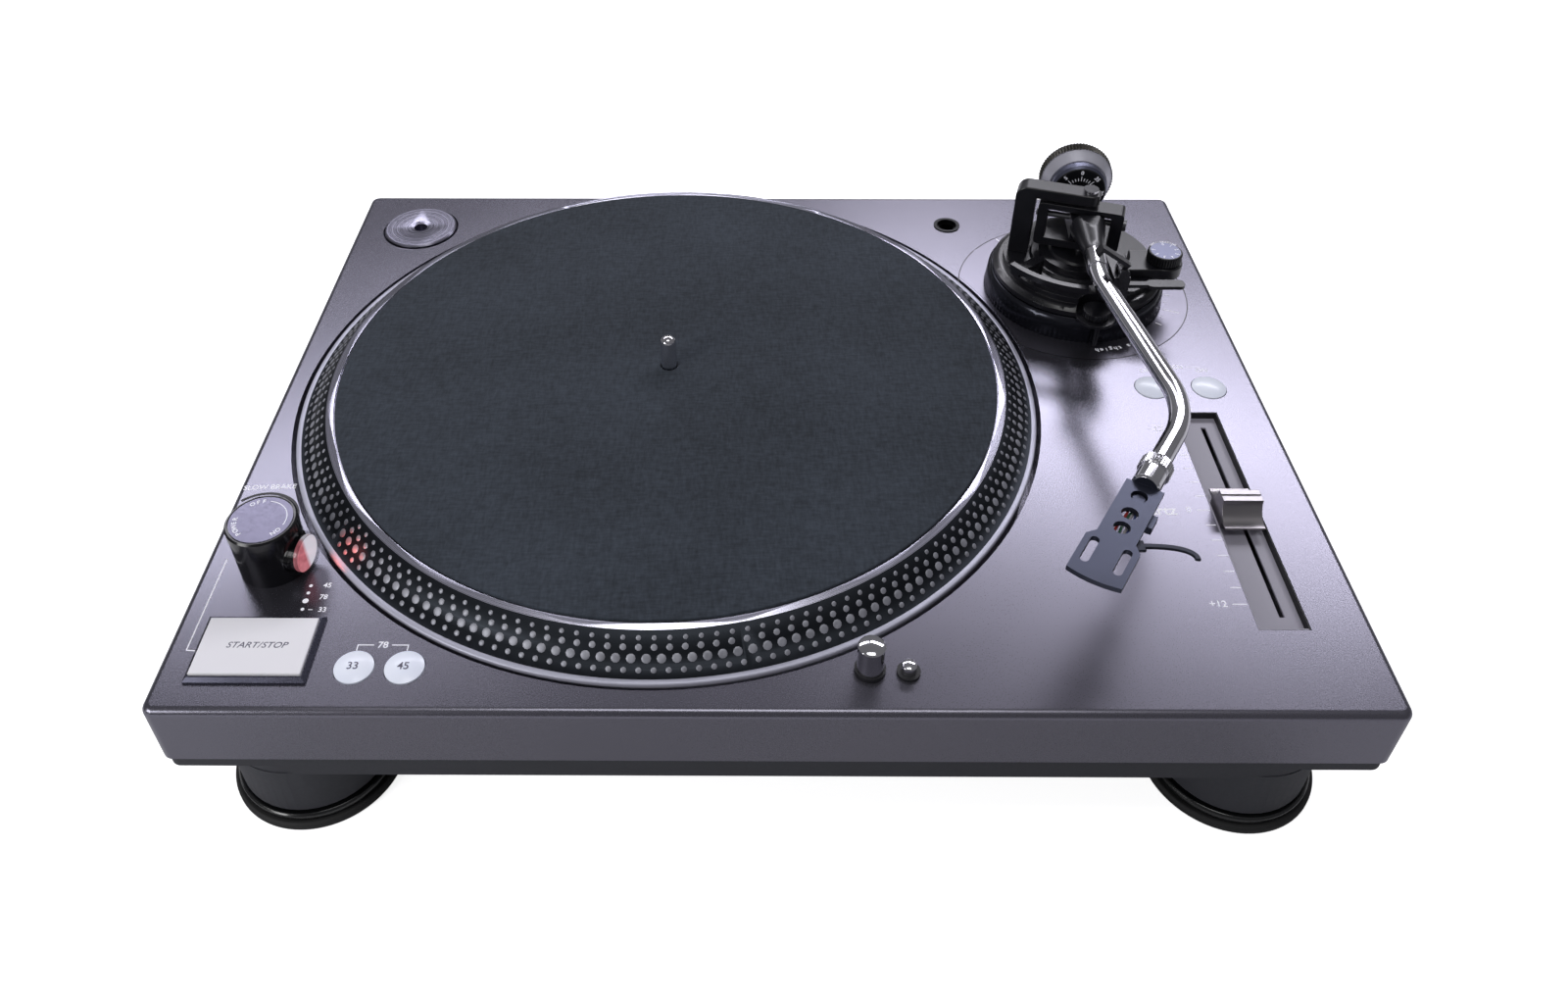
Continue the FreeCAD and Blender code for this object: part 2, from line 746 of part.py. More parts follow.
def spindle():
    points = [(0, SPINDLE_FOOT), (SPINDLE_R, SPINDLE_FOOT), (SPINDLE_R, HUB_Z - SPINDLE_COLLAR_H),
              (SPINDLE_COLLAR_R, HUB_Z - SPINDLE_COLLAR_H), (SPINDLE_COLLAR_R, HUB_Z), (SPINDLE_R, HUB_Z),
              (SPINDLE_R, SPINDLE_TOP - SPINDLE_NOSE), (SPINDLE_R * 0.9, SPINDLE_TOP - SPINDLE_NOSE * 0.55),
              (SPINDLE_R * 0.62, SPINDLE_TOP - SPINDLE_NOSE * 0.2), (SPINDLE_R * 0.3, SPINDLE_TOP),
              (0, SPINDLE_TOP)]
    return turned(SPIN_X, SPIN_Y, points)


def bearing_housing():
    points = [(0, BEARING_FOOT), (BEARING_R, BEARING_FOOT), (BEARING_R, WELL_Z), (BEARING_FLANGE_R, WELL_Z),
              (BEARING_FLANGE_R, WELL_Z + BEARING_FLANGE_T), (BEARING_R, WELL_Z + BEARING_FLANGE_T),
              (BEARING_R, BEARING_TOP), (SPINDLE_R + RUN, BEARING_TOP), (SPINDLE_R + RUN, SPINDLE_FOOT),
              (0, SPINDLE_FOOT)]
    return turned(SPIN_X, SPIN_Y, points)


def ring(x, y, r_in, r, z0, z1):
    return cyl(x, y, r, z0, z1).cut(cyl(x, y, r_in, z0 - 1, z1 + 1))


def motor_board():
    top = WELL_Z + BOARD_T
    pieces = [ring(SPIN_X, SPIN_Y, BOARD_IN_R, BOARD_R, WELL_Z, top)]
    for i in range(COILS):
        turn = 2 * math.pi * i / COILS
        x, y = SPIN_X + COIL_PITCH_R * math.cos(turn), SPIN_Y + COIL_PITCH_R * math.sin(turn)
        pieces.append(ring(x, y, COIL_R / 2, COIL_R, top, COIL_TOP))
    return pieces


# Pieces inside the case
def power_transformer():
    floor = TRAY_Z + TRAY_FLOOR
    core = round_edges(cyl(TOROID_X, TOROID_Y, TOROID_R, floor, floor + TOROID_H), TOROID_EDGE,
                       lambda e: e.Length > TOROID_R * math.pi)
    core = core.cut(cyl(TOROID_X, TOROID_Y, TOROID_HOLE_R, floor - 1, floor + TOROID_H + 1))
    top = floor + TOROID_H
    clamp = fuse(cyl(TOROID_X, TOROID_Y, CLAMP_R, top, top + CLAMP_T),
                 cyl(TOROID_X, TOROID_Y, CLAMP_BOLT_R, floor, top + 2 * CLAMP_T))
    return [core, clamp]


def main_board():
    top = MAIN_Z + BOARD_T
    x1, y1 = MAIN_X + MAIN_W, MAIN_Y + MAIN_LENGTH
    mid_x, mid_y = MAIN_X + MAIN_W / 2, MAIN_Y + MAIN_LENGTH / 2
    board = box(MAIN_X, x1, MAIN_Y, y1, MAIN_Z, top)
    chip = box(mid_x - CHIP_W / 2, mid_x + CHIP_W / 2,
               mid_y - CHIP_W / 2, mid_y + CHIP_W / 2, top, top + CHIP_H)
    caps = [cyl(mid_x + side * CAP_R * 1.4, MAIN_Y + MAIN_LENGTH * 0.82, CAP_R, top, top + CAP_H)
            for side in (-1, 1)]
    sink_x = x1 - 2 * SINK_T
    sink = box(sink_x, sink_x + SINK_T, MAIN_Y + SINK_T, MAIN_Y + SINK_T + SINK_L, top, top + SINK_H)
    return [board, chip, sink] + caps


def inlet_block(grow, y1):
    half_w, half_h = INLET_W / 2 + grow, INLET_H / 2 + grow
    return box(INLET_X - half_w, INLET_X + half_w, HALF_D - WALL - 1, y1, INLET_Z - half_h, INLET_Z + half_h)


def power_inlet():
    wall_y = HALF_D - WALL
    face = HALF_D - INLET_SET
    half_w, half_h, lip = INLET_W / 2, INLET_H / 2, INLET_FLANGE
    body = box(INLET_X - half_w, INLET_X + half_w, face - INLET_L, face, INLET_Z - half_h, INLET_Z + half_h)
    flange = box(INLET_X - half_w - lip, INLET_X + half_w + lip, wall_y - INLET_FLANGE_T, wall_y,
                 INLET_Z - half_h - lip / 2, INLET_Z + half_h + lip / 2)
    hole = box(INLET_X - INLET_HOLE_W / 2, INLET_X + INLET_HOLE_W / 2, face - INLET_HOLE_L, face + 1,
               INLET_Z - INLET_HOLE_H / 2, INLET_Z + INLET_HOLE_H / 2)
    pins = [rod_y(INLET_X + side * INLET_PIN_PITCH / 2, face - INLET_HOLE_L - 1, face - 3, INLET_Z, INLET_PIN_R)
            for side in (-1, 1)]
    return fuse(fuse(body, flange).cut(hole), *pins)


def jack_block(grow, y1):
    half_w, half_h = JACK_W / 2 + grow, JACK_H / 2 + grow
    return box(JACK_X - half_w, JACK_X + half_w, HALF_D - WALL - 1, y1, JACK_Z - half_h, JACK_Z + half_h)


def signal_jacks():
    wall_y = HALF_D - WALL
    back = wall_y - JACK_DEPTH
    half_w, half_h = JACK_W / 2, JACK_H / 2
    tub = box(JACK_X - half_w, JACK_X + half_w, back, wall_y, JACK_Z - half_h, JACK_Z + half_h)
    tub = tub.cut(box(JACK_X - half_w + JACK_WALL, JACK_X + half_w - JACK_WALL, back + JACK_WALL, wall_y + 1,
                      JACK_Z - half_h + JACK_WALL, JACK_Z + half_h - JACK_WALL))
    face = back + JACK_WALL
    jacks = []
    for x in (JACK_X - JACK_PITCH, JACK_X):
        sleeve = fuse(rod_y(x, face, face + JACK_FLANGE_T, JACK_Z, JACK_FLANGE_R),
                      rod_y(x, face, face + JACK_L, JACK_Z, JACK_R))
        jacks.append(sleeve.cut(rod_y(x, face + JACK_FLANGE_T + 1, face + JACK_L + 1, JACK_Z, JACK_CORE_R)))
    jacks.append(rod_y(JACK_X + JACK_PITCH, face, face + EARTH_L, JACK_Z, EARTH_R))
    return [tub] + jacks


# Start/stop bezel and the push buttons
def bezel_block(inset, z0, z1):
    half_w, half_d = BEZEL_W / 2 - inset, BEZEL_D / 2 - inset
    return box(START_X - half_w, START_X + half_w, START_Y - half_d, START_Y + half_d, z0, z1)


def start_stop_bezel():
    flange = bezel_block(0, 0, BEZEL_H)
    flange = flange.makeChamfer(BEZEL_BEVEL, [e for e in flange.Edges if at_height(BEZEL_H)(e)])
    skirt = bezel_block(BEZEL_SKIRT, BEZEL_FLOOR_Z, BEZEL_H / 2)
    half_w, half_d = START_W / 2 + GAP, START_D / 2 + GAP
    floor = BEZEL_FLOOR_Z + BEZEL_FLOOR_T
    hole = box(START_X - half_w, START_X + half_w, START_Y - half_d, START_Y + half_d, floor, BEZEL_H + 1)
    return cut(fuse(flange, skirt), hole, cyl(START_X, START_Y, STEM_R + RUN, BEZEL_FLOOR_Z - 1, floor + 1))


def start_stop_button():
    half_w, half_d = START_W / 2, START_D / 2
    cap = box(START_X - half_w, START_X + half_w, START_Y - half_d, START_Y + half_d, START_FOOT, START_TOP)
    cap = round_edges(cap, START_EDGE, at_height(START_TOP))
    return fuse(cap, cyl(START_X, START_Y, STEM_R, START_FOOT - STEM_L, START_FOOT))


def push_button(x, y, r):
    dome_r = (r * r + BUTTON_DOME_H * BUTTON_DOME_H) / (2 * BUTTON_DOME_H)
    dome = Part.makeSphere(dome_r, V(x, y, BUTTON_TOP - dome_r))
    cap = cyl(x, y, r, BUTTON_FOOT, BUTTON_TOP + 1).common(dome)
    return fuse(cap, cyl(x, y, STEM_R, BUTTON_FOOT - STEM_L, BUTTON_FOOT))


# Strobe tower, its red pane and the power cap
def hood_barrel(inset, reach0, reach1):
    return placed(rod_x(reach0, reach1, HOOD_R - inset, 0.0, HOOD_Z), TOWER_X, TOWER_Y, HOOD_ANGLE)


def strobe_tower():
    body = cyl(TOWER_X, TOWER_Y, TOWER_R, 0, TOWER_TOP)
    body = fuse(body, cyl(TOWER_X, TOWER_Y, SPIGOT_R, SPIGOT_Z, 0), hood_barrel(0, TOWER_R - 3, HOOD_REACH))
    body = body.cut(cyl(TOWER_X, TOWER_Y, TOWER_BORE_R, CUP_FLOOR, TOWER_TOP - TOWER_CAP_T))
    body = body.cut(cyl(TOWER_X, TOWER_Y, SPIGOT_BORE_R, SPIGOT_Z - 1, CUP_FLOOR + 1))
    body = body.cut(hood_barrel(HOOD_WALL, TOWER_R - 4, HOOD_REACH + 1))
    return body.cut(cyl(TOWER_X, TOWER_Y, KNOB_SHAFT_R + RUN, TOWER_TOP - TOWER_CAP_T - 1, TOWER_TOP + 1))


def power_knob():
    z0 = TOWER_TOP + GAP
    return turned(TOWER_X, TOWER_Y, [
        (0, z0 - KNOB_SHAFT_L), (KNOB_SHAFT_R, z0 - KNOB_SHAFT_L), (KNOB_SHAFT_R, z0), (KNOB_R, z0),
        (KNOB_R, KNOB_TOP - KNOB_EDGE), (KNOB_R - KNOB_EDGE, KNOB_TOP), (KNOB_DISC_R + KNOB_GROOVE, KNOB_TOP),
        (KNOB_DISC_R + KNOB_GROOVE, KNOB_TOP - KNOB_GROOVE), (KNOB_DISC_R, KNOB_TOP - KNOB_GROOVE),
        (KNOB_DISC_R, KNOB_TOP), (0, KNOB_TOP)])


def strobe_window():
    return hood_barrel(HOOD_WALL + SEAT, HOOD_REACH - PANE_SET - PANE_T, HOOD_REACH - PANE_SET)


# Adaptor, headshell socket and target lamp
def adaptor_45():
    return turned(ADAPTOR_X, ADAPTOR_Y, [
        (ADAPTOR_HOLE_R, RECESS_Z), (ADAPTOR_R, RECESS_Z), (ADAPTOR_R, ADAPTOR_TOP - ADAPTOR_CHAMFER),
        (ADAPTOR_R - ADAPTOR_CHAMFER, ADAPTOR_TOP), (ADAPTOR_DISH_R, ADAPTOR_TOP),
        (ADAPTOR_HOLE_R, ADAPTOR_TOP - ADAPTOR_DISH)])


def headshell_socket():
    return turned(SOCKET_X, SOCKET_Y, [
        (0, SOCKET_Z - SOCKET_FLOOR), (SOCKET_TUBE_R, SOCKET_Z - SOCKET_FLOOR), (SOCKET_TUBE_R, 0),
        (SOCKET_R, 0), (SOCKET_R, SOCKET_RIM), (SOCKET_MOUTH_R, SOCKET_RIM), (SOCKET_MOUTH_R, -SOCKET_MOUTH),
        (SOCKET_BORE_R, -SOCKET_MOUTH), (SOCKET_BORE_R, SOCKET_Z), (0, SOCKET_Z)])


def target_lamp():
    lamp = turned(LAMP_X, LAMP_Y, [(0, LAMP_FOOT), (LAMP_R, LAMP_FOOT), (LAMP_R, LAMP_TOP - LAMP_EDGE),
                                   (LAMP_R - LAMP_EDGE, LAMP_TOP), (0, LAMP_TOP)])
    lens = box(-LAMP_R - 1, LAMP_LENS_DEPTH - LAMP_R, -LAMP_R, LAMP_R, LAMP_LENS_Z, LAMP_LENS_Z + LAMP_LENS_H)
    return lamp.cut(placed(lens, LAMP_X, LAMP_Y, math.degrees(math.atan2(LAMP_Y - SPIN_Y, LAMP_X - SPIN_X))))


def lamp_bush():
    web_half = BUSH_BODY_R
    web = box(LAMP_X, RELEASE_X, RELEASE_Y - web_half / 2, RELEASE_Y + web_half / 2, -WALL - BUSH_WEB_T, -WALL)
    body = fuse(cyl(LAMP_X, LAMP_Y, BUSH_BODY_R, BUSH_FOOT, -WALL), cyl(LAMP_X, LAMP_Y, BUSH_R, -WALL, BUSH_TOP),
                cyl(RELEASE_X, RELEASE_Y, RELEASE_BODY_R, RELEASE_BODY_Z, -WALL),
                cyl(RELEASE_X, RELEASE_Y, RELEASE_BUSH_R, -WALL, RELEASE_BUSH_TOP), web)
    return cut(body, cyl(LAMP_X, LAMP_Y, LAMP_R + RUN, BUSH_FOOT - 1, BUSH_TOP + 1),
               cyl(RELEASE_X, RELEASE_Y, RELEASE_R + RUN, RELEASE_BODY_Z - 1, RELEASE_BUSH_TOP + 1))


def release_button():
    return turned(RELEASE_X, RELEASE_Y, [
        (0, RELEASE_FOOT), (RELEASE_R, RELEASE_FOOT), (RELEASE_R, RELEASE_TOP - RELEASE_EDGE),
        (RELEASE_R - RELEASE_EDGE, RELEASE_TOP), (0, RELEASE_TOP)])


# Pitch fader
def trough_block(grow, z0, z1):
    return box(FADER_X0 - grow, FADER_X1 + grow, FADER_Y0 - grow, FADER_Y1 + grow, z0, z1)


def fader_trough():
    tub = trough_block(FADER_WALL, -FADER_DEPTH - FADER_FLOOR, 0)
    slot = box(SLOT_X - SLOT_W / 2, SLOT_X + SLOT_W / 2, SLOT_Y0, SLOT_Y1, -FADER_DEPTH - FADER_FLOOR - 1, 1)
    return cut(tub, trough_block(0, -FADER_DEPTH, 1), slot)


def grip_profile():
    def at(y, z):
        return V(GRIP_X0, GRIP_Y + y, z)

    def flank(side):
        mid_y = (GRIP_HALF + GRIP_TOP_HALF) / 2 - GRIP_SAG
        mid_z = (GRIP_BASE_TOP + GRIP_TOP) / 2 - GRIP_SAG
        ends = [at(side * GRIP_HALF, GRIP_BASE_TOP), at(side * mid_y, mid_z), at(side * GRIP_TOP_HALF, GRIP_TOP)]
        return Part.Arc(*(ends if side > 0 else ends[::-1])).toShape()

    low, high = GRIP_HALF, GRIP_TOP_HALF
    edges = [Part.makeLine(at(-low, GRIP_BASE_Z), at(low, GRIP_BASE_Z)),
             Part.makeLine(at(low, GRIP_BASE_Z), at(low, GRIP_BASE_TOP)), flank(1),
             Part.makeLine(at(high, GRIP_TOP), at(-high, GRIP_TOP)), flank(-1),
             Part.makeLine(at(-low, GRIP_BASE_TOP), at(-low, GRIP_BASE_Z))]
    return Part.Face(Part.Wire(edges))


def fader_knob():
    grip = grip_profile().extrude(V(GRIP_X1 - GRIP_X0, 0, 0))
    mark = box(GRIP_X0 - 1, GRIP_X1 + 1, GRIP_Y - GRIP_MARK, GRIP_Y + GRIP_MARK,
               GRIP_TOP - GRIP_MARK, GRIP_TOP + 1)
    nose = box(GRIP_X0, GRIP_X1, GRIP_Y - GRIP_NOSE_HALF, GRIP_Y + GRIP_NOSE_HALF, GRIP_NOSE_Z, GRIP_BASE_Z)
    half_w = SLOT_W / 2 - RUN
    stem = box(SLOT_X - half_w, SLOT_X + half_w, GRIP_Y - STEM_HALF, GRIP_Y + STEM_HALF,
               CARRIAGE_TOP, GRIP_NOSE_Z)
    carriage = box(SLOT_X - CARRIAGE_W / 2, SLOT_X + CARRIAGE_W / 2, GRIP_Y - CARRIAGE_HALF,
                   GRIP_Y + CARRIAGE_HALF, CARRIAGE_Z, CARRIAGE_TOP)
    return fuse(grip.cut(mark), nose, stem, carriage)


def fader_unit():
    top = -FADER_DEPTH - FADER_FLOOR
    y0, y1 = SLOT_Y0 - UNIT_END, SLOT_Y1 + UNIT_END
    body = box(SLOT_X - UNIT_W / 2, SLOT_X + UNIT_W / 2, y0, y1, UNIT_Z, top)
    half = UNIT_W / 2 - UNIT_WALL
    return body.cut(box(SLOT_X - half, SLOT_X + half, y0 + 2, y1 - 2, CARRIAGE_Z - GAP, top + 1))


# Arm height assembly
def scale_disc():
    return scale_outline(0, -SCALE_T, 0).cut(cyl(ARM_X, ARM_Y, SLEEVE_R + RUN, -SCALE_T - 1, 1))


def arm_sleeve():
    return turned(ARM_X, ARM_Y, [
        (SLEEVE_BORE_R, SLEEVE_FOOT), (SLEEVE_R, SLEEVE_FOOT), (SLEEVE_R, -WALL - SLEEVE_FLANGE_T),
        (SLEEVE_FLANGE_R, -WALL - SLEEVE_FLANGE_T), (SLEEVE_FLANGE_R, -WALL), (SLEEVE_R, -WALL),
        (SLEEVE_R, SLEEVE_TOP), (SLEEVE_BORE_R, SLEEVE_TOP)])


def height_ring():
    wheel = placed(toothed(HEIGHT_R, HEIGHT_TOOTH, HEIGHT_TEETH, 0, HEIGHT_H), ARM_X, ARM_Y, 0)
    envelope = turned(ARM_X, ARM_Y, [
        (SLEEVE_R + RUN, 0), (HEIGHT_R, 0), (HEIGHT_TOP_R, HEIGHT_H - HEIGHT_BEVEL),
        (HEIGHT_TOP_R - HEIGHT_BEVEL, HEIGHT_H), (SLEEVE_R + RUN, HEIGHT_H)])
    return wheel.common(envelope)


def polar(reach, angle):
    turn = math.radians(angle)
    return ARM_X + reach * math.cos(turn), ARM_Y + reach * math.sin(turn)


def arm_base():
    body = turned(ARM_X, ARM_Y, [
        (BASE_CAVITY_R, BASE_BODY_FOOT), (SLEEVE_BORE_R - RUN, BASE_BODY_FOOT), (SLEEVE_BORE_R - RUN, DISH_Z),
        (DISH_R, DISH_Z), (DISH_R, DISH_EDGE_Z), (DISH_IN_R, DISH_IN_Z), (TERRACE_R, DISH_IN_Z),
        (TERRACE_R, TERRACE_Z), (STEP_R, TERRACE_Z), (STEP_R - 1, STEP_Z), (TURRET_R, STEP_Z),
        (TURRET_R, TURRET_Z), (TURRET_IN_R, TURRET_Z), (TURRET_IN_R - 1, TURRET_TOP), (0, TURRET_TOP),
        (0, BASE_CAVITY_TOP), (BASE_CAVITY_R, BASE_CAVITY_TOP)])
    for y0 in lever_lugs():
        lug = rod_y(LEVER_X, y0, y0 + LEVER_LUG_T, LEVER_Z, LEVER_HUB_R)
        foot_block = box(LEVER_X - LEVER_HUB_R, LEVER_X + LEVER_HUB_R, y0, y0 + LEVER_LUG_T, DISH_IN_Z, LEVER_Z)
        body = fuse(body, lug, foot_block)
    body = fuse(body, cyl(LOCK_X, LOCK_Y, LUG_R, DISH_Z, DISH_EDGE_Z - 1))
    body = body.cut(cyl(LOCK_X, LOCK_Y, LUG_R, DISH_EDGE_Z - 1, TURRET_TOP))
    x, y = polar(POINTER_REACH, math.degrees(math.atan2(LOCK_Y - ARM_Y, LOCK_X - ARM_X)))
    body = fuse(body, cyl(x, y, POINTER_R, POINTER_Z, DISH_EDGE_Z - 1))
    x, y = polar(RAIL_STEM_REACH, RAIL_STEM_ANGLE)
    body = body.cut(cyl(x, y, RAIL_STEM_R + RUN, RAIL_BORE_FOOT, TURRET_TOP))
    body = body.cut(cyl(LOCK_X, LOCK_Y, LOCK_PIN_R + RUN, DISH_Z - 1, TURRET_TOP))
    body = body.cut(cyl(ARM_X, ARM_Y, PIVOT_R + SEAT, TURRET_TOP - PIVOT_SET, TURRET_TOP + 1))
    pin = rod_y(LEVER_X, LEVER_Y - 3 * LEVER_HUB_L, LEVER_Y + 3 * LEVER_HUB_L, LEVER_Z, LEVER_PIN_R + RUN)
    return body.cut(pin)


def lever_lugs():
    half = LEVER_HUB_L / 2 + GAP
    return LEVER_Y - half - LEVER_LUG_T, LEVER_Y + half


def height_lock():
    grip = placed(toothed(LOCK_R, LOCK_TOOTH, LOCK_TEETH, LOCK_Z, LOCK_TOP), LOCK_X, LOCK_Y, 0)
    return fuse(grip, cyl(LOCK_X, LOCK_Y, LOCK_PIN_R, LOCK_PIN_Z, LOCK_Z))


# Cueing
def cue_lever():
    half = LEVER_HUB_L / 2
    hub = rod_y(LEVER_X, LEVER_Y - half, LEVER_Y + half, LEVER_Z, LEVER_HUB_R)
    reach = half + GAP + LEVER_LUG_T
    pin = rod_y(LEVER_X, LEVER_Y - reach, LEVER_Y + reach, LEVER_Z, LEVER_PIN_R)
    z1 = LEVER_ARM_Z + LEVER_ARM_T
    bar = box(LEVER_X, LEVER_ARM_X, PADDLE_Y - LEVER_ARM_W / 2, PADDLE_Y + LEVER_ARM_W / 2, LEVER_ARM_Z, z1)
    paddle = box(LEVER_ARM_X - 1, LEVER_TIP_X, PADDLE_Y - PADDLE_W / 2, PADDLE_Y + PADDLE_W / 2, LEVER_ARM_Z, z1)
    return fuse(hub, pin, bar, round_edges(paddle, PADDLE_W / 2 - 0.5, upright))


def rail_arc(z0, z1):
    arc = ring(0, 0, RAIL_R - RAIL_W / 2, RAIL_R + RAIL_W / 2, z0, z1)
    wedge = Part.makeCylinder(2 * RAIL_R, z1 - z0 + 2, V(0, 0, z0 - 1), UP, RAIL_TO - RAIL_FROM)
    wedge.rotate(V(0, 0, 0), UP, RAIL_FROM)
    return placed(arc.common(wedge), ARM_X, ARM_Y, 0)


def cue_rail():
    x, y = polar(RAIL_STEM_REACH, RAIL_STEM_ANGLE)
    web = box(RAIL_STEM_REACH, RAIL_R, -RAIL_WEB_W / 2, RAIL_WEB_W / 2, RAIL_TOP - 2 * RAIL_T, RAIL_TOP - RAIL_T)
    post_top = RAIL_TOP - RAIL_T
    riser = box(RAIL_R - RAIL_W / 2, RAIL_R, -RAIL_WEB_W / 2, RAIL_WEB_W / 2, RAIL_TOP - 2 * RAIL_T, RAIL_TOP)
    arm = [placed(piece, ARM_X, ARM_Y, RAIL_STEM_ANGLE) for piece in (web, riser)]
    return fuse(rail_arc(RAIL_TOP - RAIL_T, RAIL_TOP), cyl(x, y, RAIL_STEM_R, RAIL_STEM_FOOT, post_top), *arm)


# Gimbal
def gimbal_yoke():
    frame = box(YOKE_OUT, YOKE_END, -YOKE_HALF, YOKE_HALF, TERRACE_Z, YOKE_TOP)
    frame = frame.cut(box(YOKE_IN, YOKE_END + 1, -YOKE_HALF - 1, YOKE_HALF + 1, TERRACE_Z - 1, YOKE_BEAM_Z))
    corner = [e for e in frame.Edges
              if at_height(YOKE_TOP)(e) and all(abs(v.X - YOKE_OUT) < 1e-6 for v in e.Vertexes)]
    frame = frame.makeFillet(YOKE_CORNER, corner)
    end = [e for e in frame.Edges if upright(e) and abs(e.Vertexes[0].X - YOKE_END) < 1e-6]
    frame = frame.makeFillet(YOKE_HALF - 1, end)
    return on_gimbal(frame.cut(cyl(0, 0, PIVOT_SHOULDER_R + SEAT, YOKE_BEAM_Z - 1, YOKE_TOP + 1)))


def gimbal_ring():
    frame = box(RING_LEFT, RING_RIGHT, -RING_HALF, RING_HALF, RING_Z, RING_TOP)
    across = [e for e in frame.Edges if abs(e.Vertexes[0].Y - e.Vertexes[-1].Y) > RING_HALF]
    frame = frame.makeFillet(RING_CORNER, across)
    window = box(WINDOW_LEFT, WINDOW_RIGHT, -RING_HALF - 1, RING_HALF + 1, WINDOW_Z, WINDOW_TOP)
    frame = cut(frame, window, rod_x(RING_LEFT - 1, RING_RIGHT + 1, TILT_PIN_R + SEAT))
    frame = frame.cut(cyl(0, 0, PIVOT_R + RUN, RING_TOP - PIVOT_IN, RING_TOP + 1))
    return on_gimbal(frame.cut(cyl(0, 0, PIVOT_R + RUN, RING_Z - 1, RING_Z + PIVOT_IN)))


def pivot_screws():
    tip = RING_TOP - PIVOT_IN + GAP
    top = turned(ARM_X, ARM_Y, [
        (0, tip), (PIVOT_R, tip), (PIVOT_R, RING_TOP + GAP), (PIVOT_SHOULDER_R, RING_TOP + GAP),
        (PIVOT_SHOULDER_R, YOKE_TOP), (PIVOT_HEAD_R, YOKE_TOP), (PIVOT_HEAD_R, YOKE_TOP + PIVOT_HEAD_H),
        (0, YOKE_TOP + PIVOT_HEAD_H)])
    tip = RING_Z + PIVOT_IN - GAP
    bottom = turned(ARM_X, ARM_Y, [
        (0, TURRET_TOP - PIVOT_SET + GAP), (PIVOT_R, TURRET_TOP - PIVOT_SET + GAP), (PIVOT_R, TURRET_TOP),
        (PIVOT_SHOULDER_R, TURRET_TOP), (PIVOT_SHOULDER_R, RING_Z), (PIVOT_R, RING_Z), (PIVOT_R, tip), (0, tip)])
    return [top, bottom]


def tilt_pins():
    inner = BLOCK_W - TILT_PIN_IN
    left = fuse(rod_x(RING_LEFT, -inner, TILT_PIN_R),
                rod_x(RING_LEFT - TILT_PIN_HEAD / 2, RING_LEFT, TILT_PIN_R * 1.2))
    right = fuse(rod_x(inner, RING_RIGHT, TILT_PIN_R),
                 rod_x(RING_RIGHT, RING_RIGHT + TILT_PIN_HEAD, TILT_PIN_HEAD_R))
    return [on_gimbal(left), on_gimbal(right)]


# Tonearm
def arm_block():
    block = box(-BLOCK_HALF - 1, CONE_FROM + 1, -BLOCK_W, BLOCK_W, TUBE_Z - BLOCK_DOWN, TUBE_Z + BLOCK_UP)
    cone = turned_x([(CONE_FROM, 0), (CONE_FROM, CONE_R), (CONE_TO, CONE_END_R), (NOSE_TO, CONE_END_R),
                     (NOSE_TO, 0)])
    cone = cone.common(box(0, NOSE_TO, -DISH_R, DISH_R, 0, TUBE_Z + CONE_FLAT))
    body = fuse(block, cone, rod_x(SHAFT_TO, 0, SHAFT_R).common(box(SHAFT_TO, -BLOCK_HALF, -9, 9, 0, YOKE_TOP)))
    body = on_arm(body.cut(rod_x(TUBE_FROM, NOSE_TO + 1, TUBE_R + SEAT)))
    bore = rod_x(-2 * BLOCK_W, 2 * BLOCK_W, TILT_PIN_R + RUN)
    keep = rod_x(-(BLOCK_W - TILT_PIN_IN - GAP), BLOCK_W - TILT_PIN_IN - GAP, TILT_PIN_R + RUN)
    return body.cut(on_gimbal(bore.cut(keep)))


def flat_point(xy, z=TUBE_Z):
    return V(xy[0], xy[1], z)


def bend(before, corner, after, radius):
    into, out = (corner - before).normalize(), (after - corner).normalize()
    half = into.getAngle(out) / 2
    reach = radius * math.tan(half)
    start, end = corner - into * reach, corner + out * reach
    inward = (out - into).normalize()
    middle = corner + inward * (radius / math.cos(half) - radius)
    return start, middle, end


def arm_tube():
    forward = V(math.cos(math.radians(ARM_ANGLE)), math.sin(math.radians(ARM_ANGLE)), 0)
    start = V(ARM_X, ARM_Y, TUBE_Z) + forward * TUBE_FROM
    corner_1, corner_2 = flat_point(BEND_1), flat_point(BEND_2)
    shell = V(math.cos(math.radians(SHELL_ANGLE)), math.sin(math.radians(SHELL_ANGLE)), 0)
    end = flat_point(COLLAR_END) - shell * TUBE_SHORT
    a, b, c = bend(start, corner_1, corner_2, BEND_1_R)
    d, e, f = bend(corner_1, corner_2, flat_point(COLLAR_END), BEND_2_R)
    path = Part.Wire([Part.makeLine(start, a), Part.Arc(a, b, c).toShape(), Part.makeLine(c, d),
                      Part.Arc(d, e, f).toShape(), Part.makeLine(f, end)])
    section = Part.Wire(Part.makeCircle(TUBE_R, start, a - start))
    tube = path.makePipeShell([section], True, False)
    collar = on_arm(rod_x(NOSE_TO, TUBE_COLLAR_TO, TUBE_COLLAR_R))
    socket = on_shell(rod_x(-PLUG_L - TUBE_SHORT, TUBE_SHORT, PLUG_BORE_R))
    return fuse(tube, collar).cut(socket)


